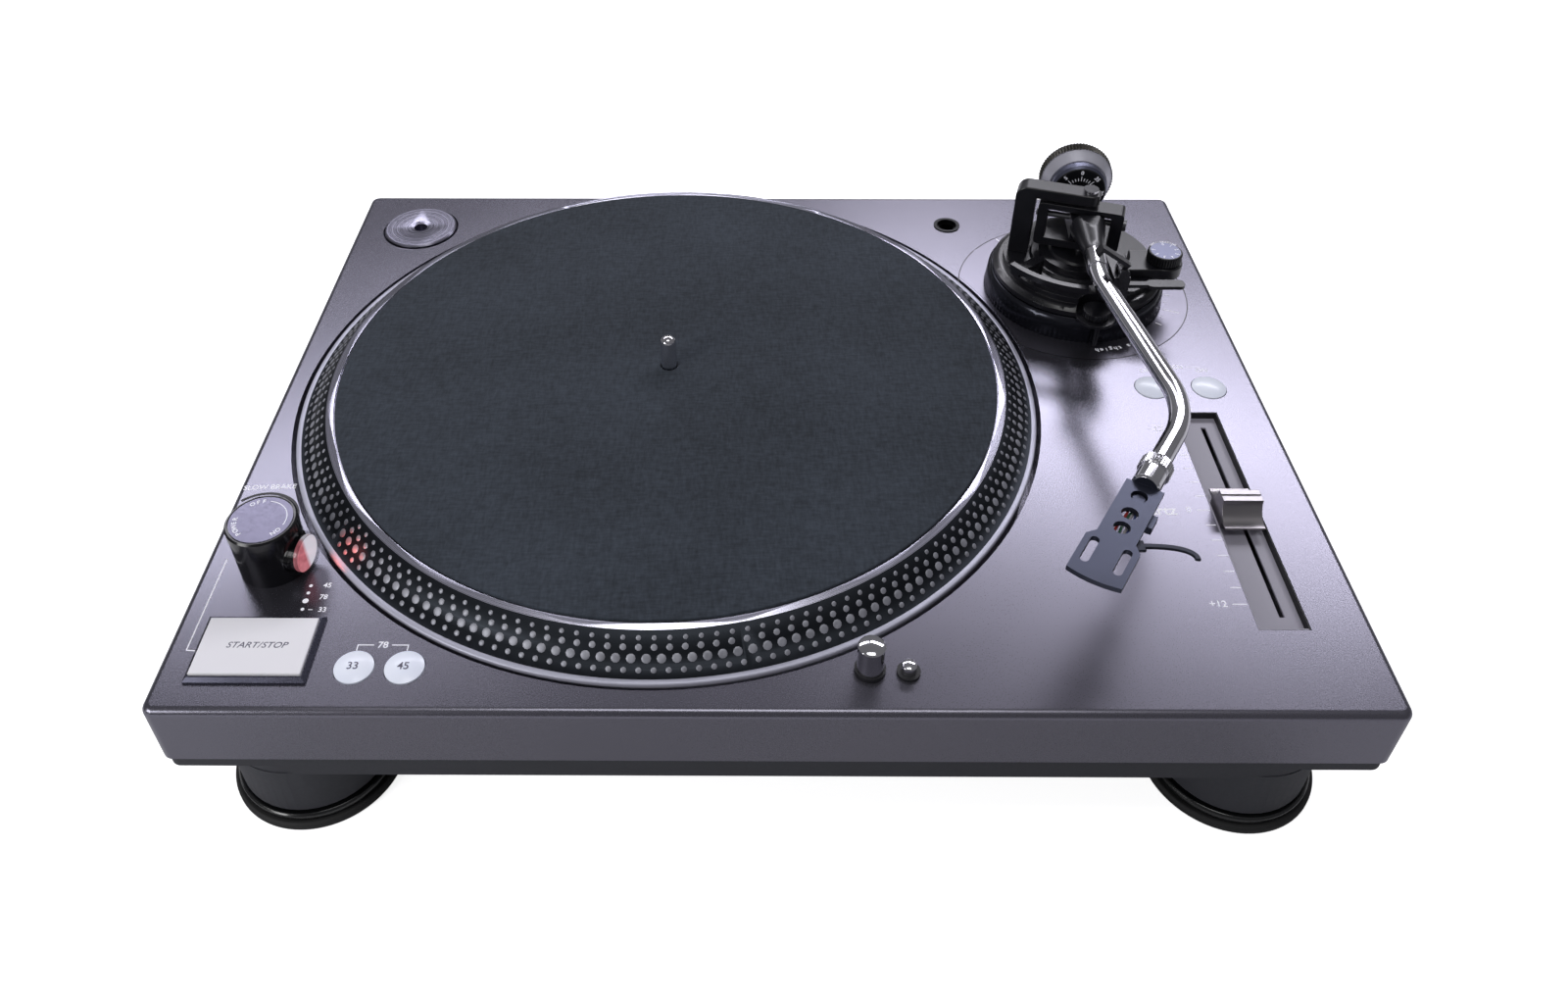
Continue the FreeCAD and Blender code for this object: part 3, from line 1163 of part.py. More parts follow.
def locking_collar():
    barrel = turned_x([(-LOCKING_L, 0), (-LOCKING_L, LOCKING_R), (-LOCKING_EDGE, LOCKING_R),
                       (0, LOCKING_R - LOCKING_EDGE), (0, 0)])
    knurl = toothed_x(LOCKING_KNURL_R, LOCKING_TOOTH, LOCKING_TEETH, -LOCKING_L, -LOCKING_L + LOCKING_KNURL_L)
    body = fuse(barrel, knurl).cut(rod_x(-LOCKING_L - 1, -TUBE_SHORT, TUBE_R + RUN))
    return on_shell(body.cut(rod_x(-TUBE_SHORT, 1, PLUG_FLANGE_R + RUN)))


# Headshell and finger lift
def shell_plate():
    def at(u, v):
        return V(u, v, SHELL_TOP - SHELL_T)

    wide, slim = SHELL_WIDE_HALF, SHELL_HALF
    front = Part.Arc(at(SHELL_L, wide), at(SHELL_L + SHELL_BULGE, 0), at(SHELL_L, -wide)).toShape()
    sides = [at(SHELL_L, -wide), at(SHELL_STEP_END, -wide), at(SHELL_STEP, -slim), at(0, -slim), at(0, slim),
             at(SHELL_STEP, slim), at(SHELL_STEP_END, wide), at(SHELL_L, wide)]
    outline = Part.Wire([front] + [Part.makeLine(a, b) for a, b in zip(sides, sides[1:])])
    return Part.Face(outline).extrude(V(0, 0, SHELL_T))


def slot(u0, u1, v):
    r = SHELL_SLOT_W / 2
    z0, z1 = SHELL_TOP - SHELL_T - 1, SHELL_TOP + 1
    return fuse(cyl(u0 + r, v, r, z0, z1), cyl(u1 - r, v, r, z0, z1), box(u0 + r, u1 - r, v - r, v + r, z0, z1))


def headshell():
    plate = shell_plate()
    neck = box(0, SHELL_NECK_L - 1.5, -PLUG_FLANGE_R, PLUG_FLANGE_R, SHELL_NECK_Z, SHELL_TOP - SHELL_T)
    bracket = box(BRACKET_FROM, BRACKET_TO, SHELL_HALF - 1, SHELL_HALF + BRACKET_OUT,
                  SHELL_NECK_Z, SHELL_TOP - SHELL_T)
    for u in SHELL_HOLES:
        plate = plate.cut(cyl(u, 0, SHELL_HOLE_R, SHELL_TOP - SHELL_T - 1, SHELL_TOP + 1))
    for side in (-1, 1):
        plate = plate.cut(slot(SHELL_SLOT_FROM, SHELL_SLOT_TO, side * SHELL_SLOT_V))
    screw = cyl(SHELL_HOLES[0], 0, SHELL_SCREW_R, SHELL_NECK_Z + 1, SHELL_TOP - SHELL_T / 2)
    bridge = box(0, SHELL_HOLES[0], -SHELL_SCREW_R, SHELL_SCREW_R, SHELL_NECK_Z, SHELL_TOP - SHELL_T)
    plug = [rod_x(-PLUG_L, 0, PLUG_R), rod_x(GAP - TUBE_SHORT, 0, PLUG_FLANGE_R)]
    return on_shell(fuse(plate, neck, bracket, screw, bridge, *plug))


def finger_lift():
    z = SHELL_TOP - SHELL_T - LIFT_T / 2
    path = [flat_point(p, z) for p in (LIFT_FROM, LIFT_MID, LIFT_BEND, LIFT_TIP)]
    curve = Part.BSplineCurve()
    curve.interpolate(path)
    start, way = path[0], curve.tangent(0)[0]
    side = V(-way.y, way.x, 0).normalize() * (LIFT_W / 2)
    rise = V(0, 0, LIFT_T / 2)
    section = Part.makePolygon([start + side + rise, start - side + rise, start - side - rise,
                                start + side - rise, start + side + rise])
    blade = Part.Wire(curve.toShape()).makePipeShell([section], True, True)
    tab = box(-LIFT_TAB, LIFT_TAB / 2, -LIFT_TAB / 2, LIFT_TAB / 2, z - LIFT_T / 2, z + LIFT_T / 2)
    return fuse(blade, placed(tab, LIFT_FROM[0], LIFT_FROM[1], math.degrees(math.atan2(way.y, way.x))))


# Counterweight and dial; distances run back from the arm pivot
def counterweight():
    body = turned_x([(-WEIGHT_FROM, 0), (-WEIGHT_FROM, WEIGHT_SMALL_R), (-WEIGHT_CONE_TO, WEIGHT_CONE_R),
                     (-WEIGHT_KNURL_TO, WEIGHT_CONE_R), (-WEIGHT_KNURL_TO, WEIGHT_TAIL_R),
                     (-WEIGHT_TO + 1, WEIGHT_TAIL_R), (-WEIGHT_TO, WEIGHT_TAIL_R - 1), (-WEIGHT_TO, 0)])
    knurl = toothed_x(WEIGHT_R, WEIGHT_TOOTH, WEIGHT_TEETH, -WEIGHT_KNURL_TO, -WEIGHT_CONE_TO)
    return on_arm(fuse(body, knurl).cut(rod_x(-WEIGHT_TO - 1, 0, SHAFT_R + RUN)))


def weight_dial():
    body = turned_x([(-DIAL_FROM, 0), (-DIAL_FROM, DIAL_FACE_R), (-DIAL_STEP, DIAL_R), (-WEIGHT_FROM, DIAL_R),
                     (-WEIGHT_FROM, 0)])
    return on_arm(body.cut(rod_x(-WEIGHT_FROM - 1, 0, SHAFT_R + RUN)))


# Anti-skate, arm rest and clip
def antiskate_housing():
    z0, z1 = SKATE_BODY_Z, SKATE_BODY_TOP
    body = fuse(box(SKATE_BODY_X, SKATE_X, SKATE_FRONT_Y, SKATE_BACK_Y, z0, z1),
                cyl(SKATE_X, SKATE_Y, SKATE_END_R, z0, z1))
    body = body.cut(cyl(ARM_X, ARM_Y, TERRACE_R + SEAT, z0 - 1, TERRACE_Z))
    body = body.cut(cyl(ARM_X, ARM_Y, STEP_R + SEAT, z0 - 1, z1 + 1))
    return body.cut(cyl(SKATE_X, SKATE_Y, SKATE_PIN_R + RUN, z1 - SKATE_PIN_L - GAP, z1 + 1))


def antiskate_dial():
    grip = placed(toothed(SKATE_R, SKATE_TOOTH, SKATE_TEETH, SKATE_GRIP_Z, SKATE_TOP), SKATE_X, SKATE_Y, 0)
    envelope = turned(SKATE_X, SKATE_Y, [
        (0, SKATE_GRIP_Z), (SKATE_R, SKATE_GRIP_Z), (SKATE_R, SKATE_TOP - SKATE_EDGE),
        (SKATE_R - SKATE_EDGE, SKATE_TOP), (0, SKATE_TOP)])
    pin = cyl(SKATE_X, SKATE_Y, SKATE_PIN_R, SKATE_BODY_TOP - SKATE_PIN_L, SKATE_GRIP_Z)
    return fuse(grip.common(envelope), pin)


def arm_rest():
    post = box(REST_X0, REST_X1, REST_FOOT_Y0, REST_FOOT_Y1, TERRACE_Z, REST_Z)
    head = box(REST_X0, REST_X1, REST_Y0, REST_FOOT_Y1, REST_Z, REST_TOP)
    cradle = box(CRADLE_X, REST_X0, REST_Y0, CRADLE_Y1, CRADLE_Z, TUBE_Z - TUBE_R - GAP)
    body = fuse(post, head, cradle)
    for y0 in clip_lugs():
        body = fuse(body, rod_y(CLIP_X, y0, y0 + CLIP_LUG_T, CLIP_Z, CLIP_HUB_R),
                    box(CLIP_X - CLIP_HUB_R, CLIP_X + CLIP_HUB_R, y0, y0 + CLIP_LUG_T, REST_TOP - 1, CLIP_Z))
    return body.cut(rod_y(CLIP_X, REST_Y0 - 2 * CLIP_W, REST_FOOT_Y1, CLIP_Z, CLIP_PIN_R + RUN))


def clip_lugs():
    half = CLIP_W / 2 + GAP
    return CLIP_Y - half - CLIP_LUG_T, CLIP_Y + half


def arm_clip():
    y0, y1 = CLIP_Y - CLIP_W / 2, CLIP_Y + CLIP_W / 2
    z0 = CLIP_Z + CLIP_RISE
    hub = rod_y(CLIP_X, y0, y1, CLIP_Z, CLIP_HUB_R - GAP)
    reach = CLIP_W / 2 + GAP + CLIP_LUG_T
    pin = rod_y(CLIP_X, CLIP_Y - reach, CLIP_Y + reach, CLIP_Z, CLIP_PIN_R)
    riser = box(CLIP_X - CLIP_HUB_R, CLIP_X, y0, y1, CLIP_Z, z0 + CLIP_T)
    bar = box(CLIP_X - CLIP_REACH, CLIP_X, y0, y1, z0, z0 + CLIP_T)
    lip = box(CLIP_X - CLIP_REACH, CLIP_X - CLIP_REACH + CLIP_T, y0, y1, z0 - CLIP_LIP, z0)
    clip = fuse(hub, pin, riser, bar, lip)
    clip.rotate(V(CLIP_X, CLIP_Y, CLIP_Z), V(0, 1, 0), CLIP_OPEN)
    return clip


def save_feet():
    for sx, sy in corners():
        place = ("front" if sy < 0 else "rear") + "_" + ("left" if sx < 0 else "right")
        save("foot_" + place, foot(sx * FOOT_X, sy * FOOT_Y))
        save("pad_" + place, pad(sx * FOOT_X, sy * FOOT_Y))


def save_case():
    save("top_cabinet", top_cabinet())
    save("base_cover", base_cover())
    save("case_screws", *case_screws())
    save("power_transformer", *power_transformer())
    save("main_board", *main_board())
    save("power_inlet", power_inlet())
    save("signal_jacks", *signal_jacks())


def save_drive():
    save("platter", platter())
    save("slipmat", slipmat())
    save("spindle", spindle())
    save("bearing_housing", bearing_housing())
    save("rotor_magnet", ring(SPIN_X, SPIN_Y, MAGNET_IN_R, MAGNET_R, MAGNET_Z, MAGNET_TOP))
    save("motor_board", *motor_board())


def save_controls():
    save("start_stop_bezel", start_stop_bezel())
    save("start_stop_button", start_stop_button())
    save("speed_button_33", push_button(SPEED_33_X, SPEED_Y, SPEED_R))
    save("speed_button_45", push_button(SPEED_45_X, SPEED_Y, SPEED_R))
    save("pitch_button_off", push_button(PITCH_OFF_X, PITCH_Y, PITCH_R))
    save("pitch_button_on", push_button(PITCH_ON_X, PITCH_Y, PITCH_R))
    save("strobe_tower", strobe_tower())
    save("power_knob", power_knob())
    save("strobe_window", strobe_window())
    save("adaptor_45", adaptor_45())
    save("headshell_socket", headshell_socket())
    save("target_lamp", target_lamp())
    save("lamp_bush", lamp_bush())
    save("release_button", release_button())
    save("fader_trough", fader_trough())
    save("fader_knob", fader_knob())
    save("fader_unit", fader_unit())


def save_arm():
    save("scale_disc", scale_disc())
    save("arm_sleeve", arm_sleeve())
    save("height_ring", height_ring())
    save("arm_base", arm_base())
    save("height_lock", height_lock())
    save("cue_lever", cue_lever())
    save("cue_rail", cue_rail())
    save("gimbal_yoke", gimbal_yoke())
    save("gimbal_ring", gimbal_ring())
    save("pivot_screws", *pivot_screws())
    save("tilt_pins", *tilt_pins())
    save("arm_block", arm_block())
    save("arm_tube", arm_tube())
    save("locking_collar", locking_collar())
    save("headshell", headshell())
    save("finger_lift", finger_lift())
    save("counterweight", counterweight())
    save("weight_dial", weight_dial())
    save("antiskate_housing", antiskate_housing())
    save("antiskate_dial", antiskate_dial())
    save("arm_rest", arm_rest())
    save("arm_clip", arm_clip())


save_case()
save_feet()
save_drive()
save_controls()
save_arm()
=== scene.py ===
# %% [markdown]
# # A club turntable, dressed for its portrait
# The mechanical solids come from CAD and stay where they are. This lesson gives them paint,
# chrome, felt and print, and adds the small raised work that a solid model leaves out.

import json
import math

import bmesh
import bpy
from mathutils import Matrix, Vector

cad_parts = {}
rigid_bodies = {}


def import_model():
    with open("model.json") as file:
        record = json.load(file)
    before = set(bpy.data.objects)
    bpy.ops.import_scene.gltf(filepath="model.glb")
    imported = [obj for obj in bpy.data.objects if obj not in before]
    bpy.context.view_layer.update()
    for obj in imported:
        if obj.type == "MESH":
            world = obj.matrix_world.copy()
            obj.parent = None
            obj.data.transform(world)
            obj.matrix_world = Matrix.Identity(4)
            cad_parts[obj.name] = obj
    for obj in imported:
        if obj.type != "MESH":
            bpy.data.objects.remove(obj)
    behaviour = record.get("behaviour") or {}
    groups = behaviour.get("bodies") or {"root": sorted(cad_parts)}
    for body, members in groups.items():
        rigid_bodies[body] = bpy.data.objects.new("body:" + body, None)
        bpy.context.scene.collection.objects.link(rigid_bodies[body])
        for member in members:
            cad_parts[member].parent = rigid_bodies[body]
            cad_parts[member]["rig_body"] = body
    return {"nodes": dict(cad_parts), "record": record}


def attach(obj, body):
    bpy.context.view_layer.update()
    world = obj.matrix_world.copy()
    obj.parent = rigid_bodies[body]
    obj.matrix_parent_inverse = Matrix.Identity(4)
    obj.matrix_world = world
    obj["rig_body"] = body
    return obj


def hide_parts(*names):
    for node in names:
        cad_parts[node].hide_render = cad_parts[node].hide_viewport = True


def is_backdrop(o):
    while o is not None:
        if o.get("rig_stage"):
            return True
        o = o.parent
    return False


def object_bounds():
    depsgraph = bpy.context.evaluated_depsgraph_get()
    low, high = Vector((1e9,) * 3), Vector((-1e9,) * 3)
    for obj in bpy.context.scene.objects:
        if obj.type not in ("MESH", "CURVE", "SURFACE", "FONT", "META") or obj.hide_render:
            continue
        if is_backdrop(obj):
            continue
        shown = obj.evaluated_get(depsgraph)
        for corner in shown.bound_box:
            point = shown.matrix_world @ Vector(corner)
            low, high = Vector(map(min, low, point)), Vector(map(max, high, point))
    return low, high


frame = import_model()
cad_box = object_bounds()
cad = frame["nodes"]
slots = {part["node"]: part["material_slot"] for part in frame["record"]["subparts"]}
MM = 0.001
DECK_Z = 72.0
print("CAD nodes:", len(cad))


def mm(x, y, z=0.0):
    return Vector((x * MM, y * MM, (z + DECK_Z) * MM))


# %% [markdown]
# ## Writing shaders as sums
# A shader graph is easier to read as arithmetic. A Signal wraps one socket, and an expression
# such as 1 - mask adds its own Math node. Numbers alone are worked out in Python.

# %% Signals and finishes
def srgb(r, g, b):
    def straight(c):
        c = c / 255.0
        return c / 12.92 if c <= 0.04045 else ((c + 0.055) / 1.055) ** 2.4

    return straight(r), straight(g), straight(b), 1.0


class Signal:
    def __init__(self, finish, socket):
        self.finish = finish
        self.socket = socket

    def through(self, operation, *values):
        return self.finish.node("ShaderNodeMath", {"operation": operation}, *values)

    def __add__(self, other):
        return self.through("ADD", self, other)

    __radd__ = __add__

    def __sub__(self, other):
        return self.through("SUBTRACT", self, other)

    def __rsub__(self, other):
        return self.through("SUBTRACT", other, self)

    def __mul__(self, other):
        return self.through("MULTIPLY", self, other)

    __rmul__ = __mul__

    def __pow__(self, other):
        return self.through("POWER", self, other)

    def __gt__(self, other):
        return self.through("GREATER_THAN", self, other)

    def __lt__(self, other):
        return self.through("LESS_THAN", self, other)


class Finish:
    def __init__(self, name, **fixed):
        self.material = bpy.data.materials.new(name)
        self.material.use_nodes = True
        self.tree = self.material.node_tree
        self.shader = self.tree.nodes["Principled BSDF"]
        self.place = self.node("ShaderNodeTexCoord", output="Object")
        self.set(**fixed)

    def node(self, kind, settings=None, *values, output=0, **named):
        made = self.tree.nodes.new(kind)
        for key, value in (settings or {}).items():
            setattr(made, key, value)
        for index, value in enumerate(values):
            self.plug(made.inputs[index], value)
        for key, value in named.items():
            self.plug(made.inputs[key.replace("_", " ")], value)
        return Signal(self, made.outputs[output])

    def plug(self, socket, value):
        if isinstance(value, Signal):
            self.tree.links.new(value.socket, socket)
        else:
            socket.default_value = value

    def set(self, **sockets):
        for key, value in sockets.items():
            self.plug(self.shader.inputs[key.replace("_", " ")], value)
        return self

    def axes(self, place=None):
        split = self.node("ShaderNodeSeparateXYZ", None, place or self.place)
        node = split.socket.node
        return [Signal(self, node.outputs[i]) for i in range(3)]

    def moved(self, centre=(0, 0, 0), turn=(0, 0, 0), stretch=(1, 1, 1)):
        shifted = self.node("ShaderNodeMapping", {"vector_type": "POINT"}, self.place,
                            [-c for c in centre])
        return self.node("ShaderNodeMapping", {"vector_type": "POINT"}, shifted,
                         (0, 0, 0), turn, stretch)

    def noise(self, scale, detail=2.0, place=None):
        return self.node("ShaderNodeTexNoise", None, Vector=place or self.place,
                         Scale=scale, Detail=detail)

    def blend(self, factor, a, b):
        made = self.tree.nodes.new("ShaderNodeMix")
        made.data_type = "RGBA"
        for index, value in ((0, factor), (6, a), (7, b)):
            self.plug(made.inputs[index], value)
        return Signal(self, made.outputs[2])

    def between(self, value, low, high, out_low=0.0, out_high=1.0):
        return self.node("ShaderNodeMapRange", {"clamp": True}, value, low, high, out_low, out_high)

    def bump(self, height, strength, depth):
        normal = self.node("ShaderNodeBump", None, Strength=strength, Distance=depth, Height=height)
        return self.set(Normal=normal)


def radius_from(finish, x, y):
    px, py, pz = finish.axes(finish.moved((x * MM, y * MM, 0)))
    return (px * px + py * py) ** 0.5, pz


# %% [markdown]
# ## Everyday finishes
# Paint, moulded plastic and plain metal share one recipe: a base colour that drifts a little,
# a roughness that drifts with it, and a grain far finer than the piece. The numbers differ,
# so the recipe is one function and each finish is one call.

# %% Grained finishes
def grained(name, dark, light, rough, metal=0.0, grain=900.0, depth=0.00002, patch=35.0, **fixed):
    finish = Finish(name, Metallic=metal, **fixed)
    cloud = finish.between(finish.noise(patch, 3.0), 0.3, 0.7)
    grit = finish.noise(grain, 2.0)
    uneven = grit * 0.6 + cloud * 0.4
    finish.set(Base_Color=finish.blend(cloud, dark, light),
               Roughness=finish.between(uneven, 0.25, 0.75, rough - 0.05, rough + 0.05))
    return finish.bump(grit, 0.35, depth)


finishes = {
    "deck_paint": grained("satin slate deck paint", srgb(116, 115, 126), srgb(123, 121, 132), 0.27,
                          metal=0.9, grain=2600, depth=0.000004, patch=5),
    "base_plastic": grained("damped base moulding", srgb(44, 45, 52), srgb(52, 53, 60), 0.62, grain=700),
    "zinc_screw": grained("zinc plated screw", srgb(150, 150, 152), srgb(175, 175, 176), 0.35, metal=1.0),
    "winding": grained("taped transformer winding", srgb(176, 120, 50), srgb(196, 142, 68), 0.5, grain=300),
    "circuit": grained("solder resist", srgb(18, 78, 44), srgb(28, 94, 54), 0.4, grain=500),
    "black_plastic": grained("black moulded plastic", srgb(24, 24, 27), srgb(32, 32, 35), 0.45),
    "nickel": grained("nickel plate", srgb(178, 172, 160), srgb(196, 190, 178), 0.25, metal=1.0),
    "brass_bearing": grained("turned bearing brass", srgb(176, 146, 84), srgb(194, 162, 96), 0.3, metal=1.0),
    "magnet_iron": grained("sintered magnet", srgb(52, 52, 55), srgb(66, 66, 68), 0.6, metal=0.4),
    "bezel_metal": grained("bezel lacquer", srgb(74, 74, 88), srgb(84, 84, 99), 0.26, metal=0.85),
    "white_plastic": grained("white key plastic", srgb(240, 238, 244), srgb(247, 246, 251), 0.42, grain=1200,
                             depth=0.00001, patch=18),
    # The faint bluish emission on the speed buttons is a painted glow, not a lamp.
    "lilac_button": grained("translucent button plastic with painted glow", srgb(232, 237, 252), srgb(240, 244, 255), 0.34,
                            grain=1200, depth=0.00001, patch=60, Coat_Weight=0.3, Coat_Roughness=0.15,
                            Emission_Color=(0.8, 0.85, 1.0, 1.0), Emission_Strength=0.12),
    "socket_metal": grained("black anodised socket", srgb(18, 18, 20), srgb(28, 28, 31), 0.3, metal=0.7),
    "steel_part": grained("plain steel", srgb(110, 110, 114), srgb(132, 132, 136), 0.35, metal=1.0),
    "scale_paint": grained("scale disc paint", srgb(120, 118, 130), srgb(127, 125, 136), 0.30, metal=0.92,
                           grain=2600, depth=0.000012, patch=8),
    "knurled_black": grained("black knurled ring", srgb(44, 45, 52), srgb(56, 57, 65), 0.22, metal=0.8),
    "arm_black": grained("arm moulding", srgb(17, 17, 22), srgb(26, 26, 32), 0.32, grain=800,
                         depth=0.00001, Coat_Weight=0.35, Coat_Roughness=0.18),
    "shell_slate": grained("headshell lacquer", srgb(64, 67, 80), srgb(74, 77, 92), 0.36, metal=0.85),
    "foot_gloss": grained("glossy foot", srgb(12, 13, 14), srgb(20, 21, 22), 0.18, grain=500,
                          depth=0.000005, Coat_Weight=0.5, Coat_Roughness=0.1),
    "foot_rubber": grained("foot rubber", srgb(20, 20, 21), srgb(30, 30, 31), 0.7, grain=600, depth=0.00004),
}
print("grained finishes:", len(finishes))

# %% [markdown]
# ## Chrome
# Polished chrome has almost no colour of its own. It shows the room, so it needs a low
# roughness, a very faint ripple, and lights with dark gaps between them.

# %% Chrome
chrome = Finish("polished chrome", Metallic=1.0)
smear = chrome.noise(60.0, 3.0)
chrome.set(Base_Color=chrome.blend(chrome.between(smear, 0.3, 0.7), srgb(216, 215, 220), srgb(234, 233, 238)),
           Roughness=chrome.between(smear, 0.3, 0.8, 0.06, 0.13))
finishes["chrome"] = chrome
print("finish:", chrome.material.name)

# %% [markdown]
# ## Turned metal
# A lathe leaves fine rings round its axis. The rings are a wave on the distance from the axis,
# which drives roughness and a shallow bump, so highlights fan out as they do on a real disc.

# %% Turned aluminium
def turned_metal(name, x, y, dark, light, rough, rings):
    finish = Finish(name, Metallic=1.0)
    reach, _ = radius_from(finish, x, y)
    wobble = finish.noise(rings, 1.0, finish.node("ShaderNodeCombineXYZ", None, reach, 0.0, 0.0))
    finish.set(Base_Color=finish.blend(finish.between(wobble, 0.3, 0.7), dark, light),
               Roughness=finish.between(wobble, 0.3, 0.7, rough - 0.06, rough + 0.06))
    return finish.bump(wobble, 0.4, 0.00004)


ADAPTOR = (-189.5, 138.6)
finishes["turned_aluminium"] = turned_metal("turned adaptor", *ADAPTOR, srgb(122, 121, 138),
                                            srgb(178, 176, 192), 0.27, 1500.0)
print("adaptor turned about", ADAPTOR)

# %% [markdown]
# ## Finishes that change across one piece
# A knob has a satin disc let into a glossy rim, and a weight carries a dark knurled band. Each
# mask is a distance from an axis, so its edge is as sharp as the turned step beneath it. The
# tower's hood shares the power knob's finish, and a second mask lets light through it.

# %% Two-tone finishes
ARM_PIVOT, ARM_TURN = (153.3, 83.3), math.radians(-94.3)
POWER_KNOB, SKATE_DIAL = (-196.0, -102.5), (192.4, 73.7)


def two_tone(name, mask_of, base, base_rough, top, top_rough, base_metal=0.0, top_metal=1.0, **fixed):
    finish = Finish(name, **fixed)
    mask = mask_of(finish)
    drift = finish.between(finish.noise(900.0, 2.0), 0.3, 0.7) * 0.06
    finish.set(Base_Color=finish.blend(mask, srgb(*base), srgb(*top)),
               Roughness=mask * (top_rough - base_rough) + base_rough + drift,
               Metallic=mask * (top_metal - base_metal) + base_metal)
    return finish


def inside(x, y, r, low):
    def mask_of(finish):
        reach, height = radius_from(finish, x, y)
        return (reach < r * MM) * (height > (low + DECK_Z) * MM)

    return mask_of


def along_arm(*bands):
    def mask_of(finish):
        px, py, _ = finish.axes(finish.moved((ARM_PIVOT[0] * MM, ARM_PIVOT[1] * MM, 0)))
        back = (px * -math.cos(ARM_TURN) + py * -math.sin(ARM_TURN)) * 1000.0
        total = 0.0
        for low, high in bands:
            total = (back > low) * (back < high) + total
        return total

    return mask_of


HOOD_INNER_R, HOOD_CLEAR = 13.7, 0.72
gloss = two_tone("glossy knob with a satin disc", inside(*POWER_KNOB, 12.0, 23.8),
                 (17, 17, 20), 0.14, (122, 120, 138), 0.3)
hood_reach, _ = radius_from(gloss, *POWER_KNOB)
in_hood = hood_reach > HOOD_INNER_R * MM
finishes["gloss_black"] = gloss.set(Alpha=1.0 - in_hood * HOOD_CLEAR)
finishes["weight_silver"] = two_tone("weight plating", along_arm((36.5, 42.45)), (206, 205, 216), 0.3,
                                     (44, 42, 35), 0.36, base_metal=0.5, top_metal=0.8)
either_dial = (along_arm((25.5, 32.0)), inside(*SKATE_DIAL, 7.2, 29.9))
finishes["dial_black"] = two_tone("black dials", lambda finish: sum(mask(finish) for mask in either_dial),
                                  (17, 18, 21), 0.36, (106, 108, 126), 0.3)
# The trough's right wall and far wall are painted near black by a mask on position: this is painted shade,
# where those walls stand in shade.
SHADED_WALL_X, SHADED_END_Y = 198.9, -12.45


def shaded_walls(finish):
    return (finish.axes()[0] > SHADED_WALL_X * MM) + (finish.axes()[1] > SHADED_END_Y * MM)


finishes["trough_plastic"] = two_tone("fader trough", shaded_walls, (160, 157, 170), 0.42,
                                      (14, 14, 17), 0.5, top_metal=0.0)
finishes["fader_metal"] = grained("fader knob metal", srgb(150, 146, 150), srgb(172, 168, 171), 0.34,
                                  metal=0.9, grain=1600, depth=0.00001)
print("grained and two-tone finishes:", len(finishes))

# %% [markdown]
# ## Red window
# The strobe lamp sits behind a pane that is tinted in front and pale behind. Real tint absorbs
# light, and a lamp behind it makes it glow a little, so the pane has some emission as well as
# its colour.

# %% Red window
STROBE_WINDOW, PANE_WAY, SEAM = (-179.4, -106.6), (0.24, 0.97), 0.001
window = Finish("strobe window", Roughness=0.12, Emission_Strength=0.7)
pane_x, pane_y, _ = window.axes(window.moved((STROBE_WINDOW[0] * MM, STROBE_WINDOW[1] * MM, 0)))
pale = window.between(pane_x * PANE_WAY[0] + pane_y * PANE_WAY[1], -SEAM, SEAM)
ember = window.between(window.noise(300.0), 0.3, 0.7)
tint = window.blend(ember, srgb(150, 84, 92), srgb(180, 110, 118))
glow = window.blend(ember, srgb(176, 96, 106), srgb(200, 122, 130))
window.set(Base_Color=window.blend(pale, tint, srgb(206, 202, 212)),
           Emission_Color=window.blend(pale, glow, srgb(214, 210, 220)))
finishes["red_window"] = window
print("window pane at", STROBE_WINDOW)

# %% [markdown]
# ## Platter
# One casting carries several finishes: a grey rolled rim, a black strobe band, a bright machined
# ring beside the mat. They are told apart by the distance from the spindle, so one material
# with masks keeps the joints between them exact.

# %% Platter finish
SPINDLE = (-46.5, 5.5)
RING_IN_R, RING_OUT_R, BAND_IN_R, RIM_IN_R = 147.9, 151.05, 151.0, 163.7
platter = Finish("strobe platter")
reach, _ = radius_from(platter, *SPINDLE)
in_band = (reach > BAND_IN_R * MM) * (reach < RIM_IN_R * MM)
in_rim = reach > RIM_IN_R * MM
on_ring = (reach > RING_IN_R * MM) * (reach < RING_OUT_R * MM)
lathe = platter.noise(2200.0, 1.0, platter.node("ShaderNodeCombineXYZ", None, reach, 0.0, 0.0))
metal = platter.blend(on_ring, srgb(120, 119, 130), srgb(206, 205, 222))
metal = platter.blend(in_rim, metal, srgb(200, 200, 216))
metal = platter.blend(in_band, metal, srgb(46, 49, 54))
turned = platter.between(lathe, 0.3, 0.7, 0.22, 0.34)
platter.set(Base_Color=metal, Roughness=turned + in_band * 0.16 + in_rim * 0.2,
            Metallic=1.0 - in_rim * 0.6)
platter.bump(lathe, 0.3, 0.000012)
finishes["platter_alloy"] = platter
print("strobe band from", BAND_IN_R, "to", RIM_IN_R, "mm")

# %% [markdown]
# ## Felt
# Slipmat felt is pressed fibre: no weave, only short hairs lying in every direction, with a
# softer cloud of wear over them. Two fine noises, stretched across each other, give the hairs.

# %% Felt
felt = Finish("slipmat felt", Sheen_Weight=0.08, Sheen_Roughness=0.6, Specular_IOR_Level=0.2)
hair_a = felt.noise(900.0, 4.0, felt.moved(turn=(0, 0, 0.6), stretch=(1, 0.25, 1)))
hair_b = felt.noise(900.0, 4.0, felt.moved(turn=(0, 0, -0.8), stretch=(0.25, 1, 1)))
worn = felt.noise(14.0, 3.0)
fibre = hair_a * 0.5 + hair_b * 0.5
tone = felt.between(fibre * 0.7 + worn * 0.3, 0.36, 0.64)
felt.set(Base_Color=felt.blend(tone, srgb(38, 43, 50), srgb(62, 69, 79)), Roughness=0.92)
felt.bump(fibre, 0.8, 0.0003)
finishes["felt"] = felt
print("finish:", felt.material.name)

# %% [markdown]
# ## Every solid in its finish
# Each CAD node names the slot of its finish, so one loop paints them all, and the pieces that
# are dressed later take theirs from the same list.

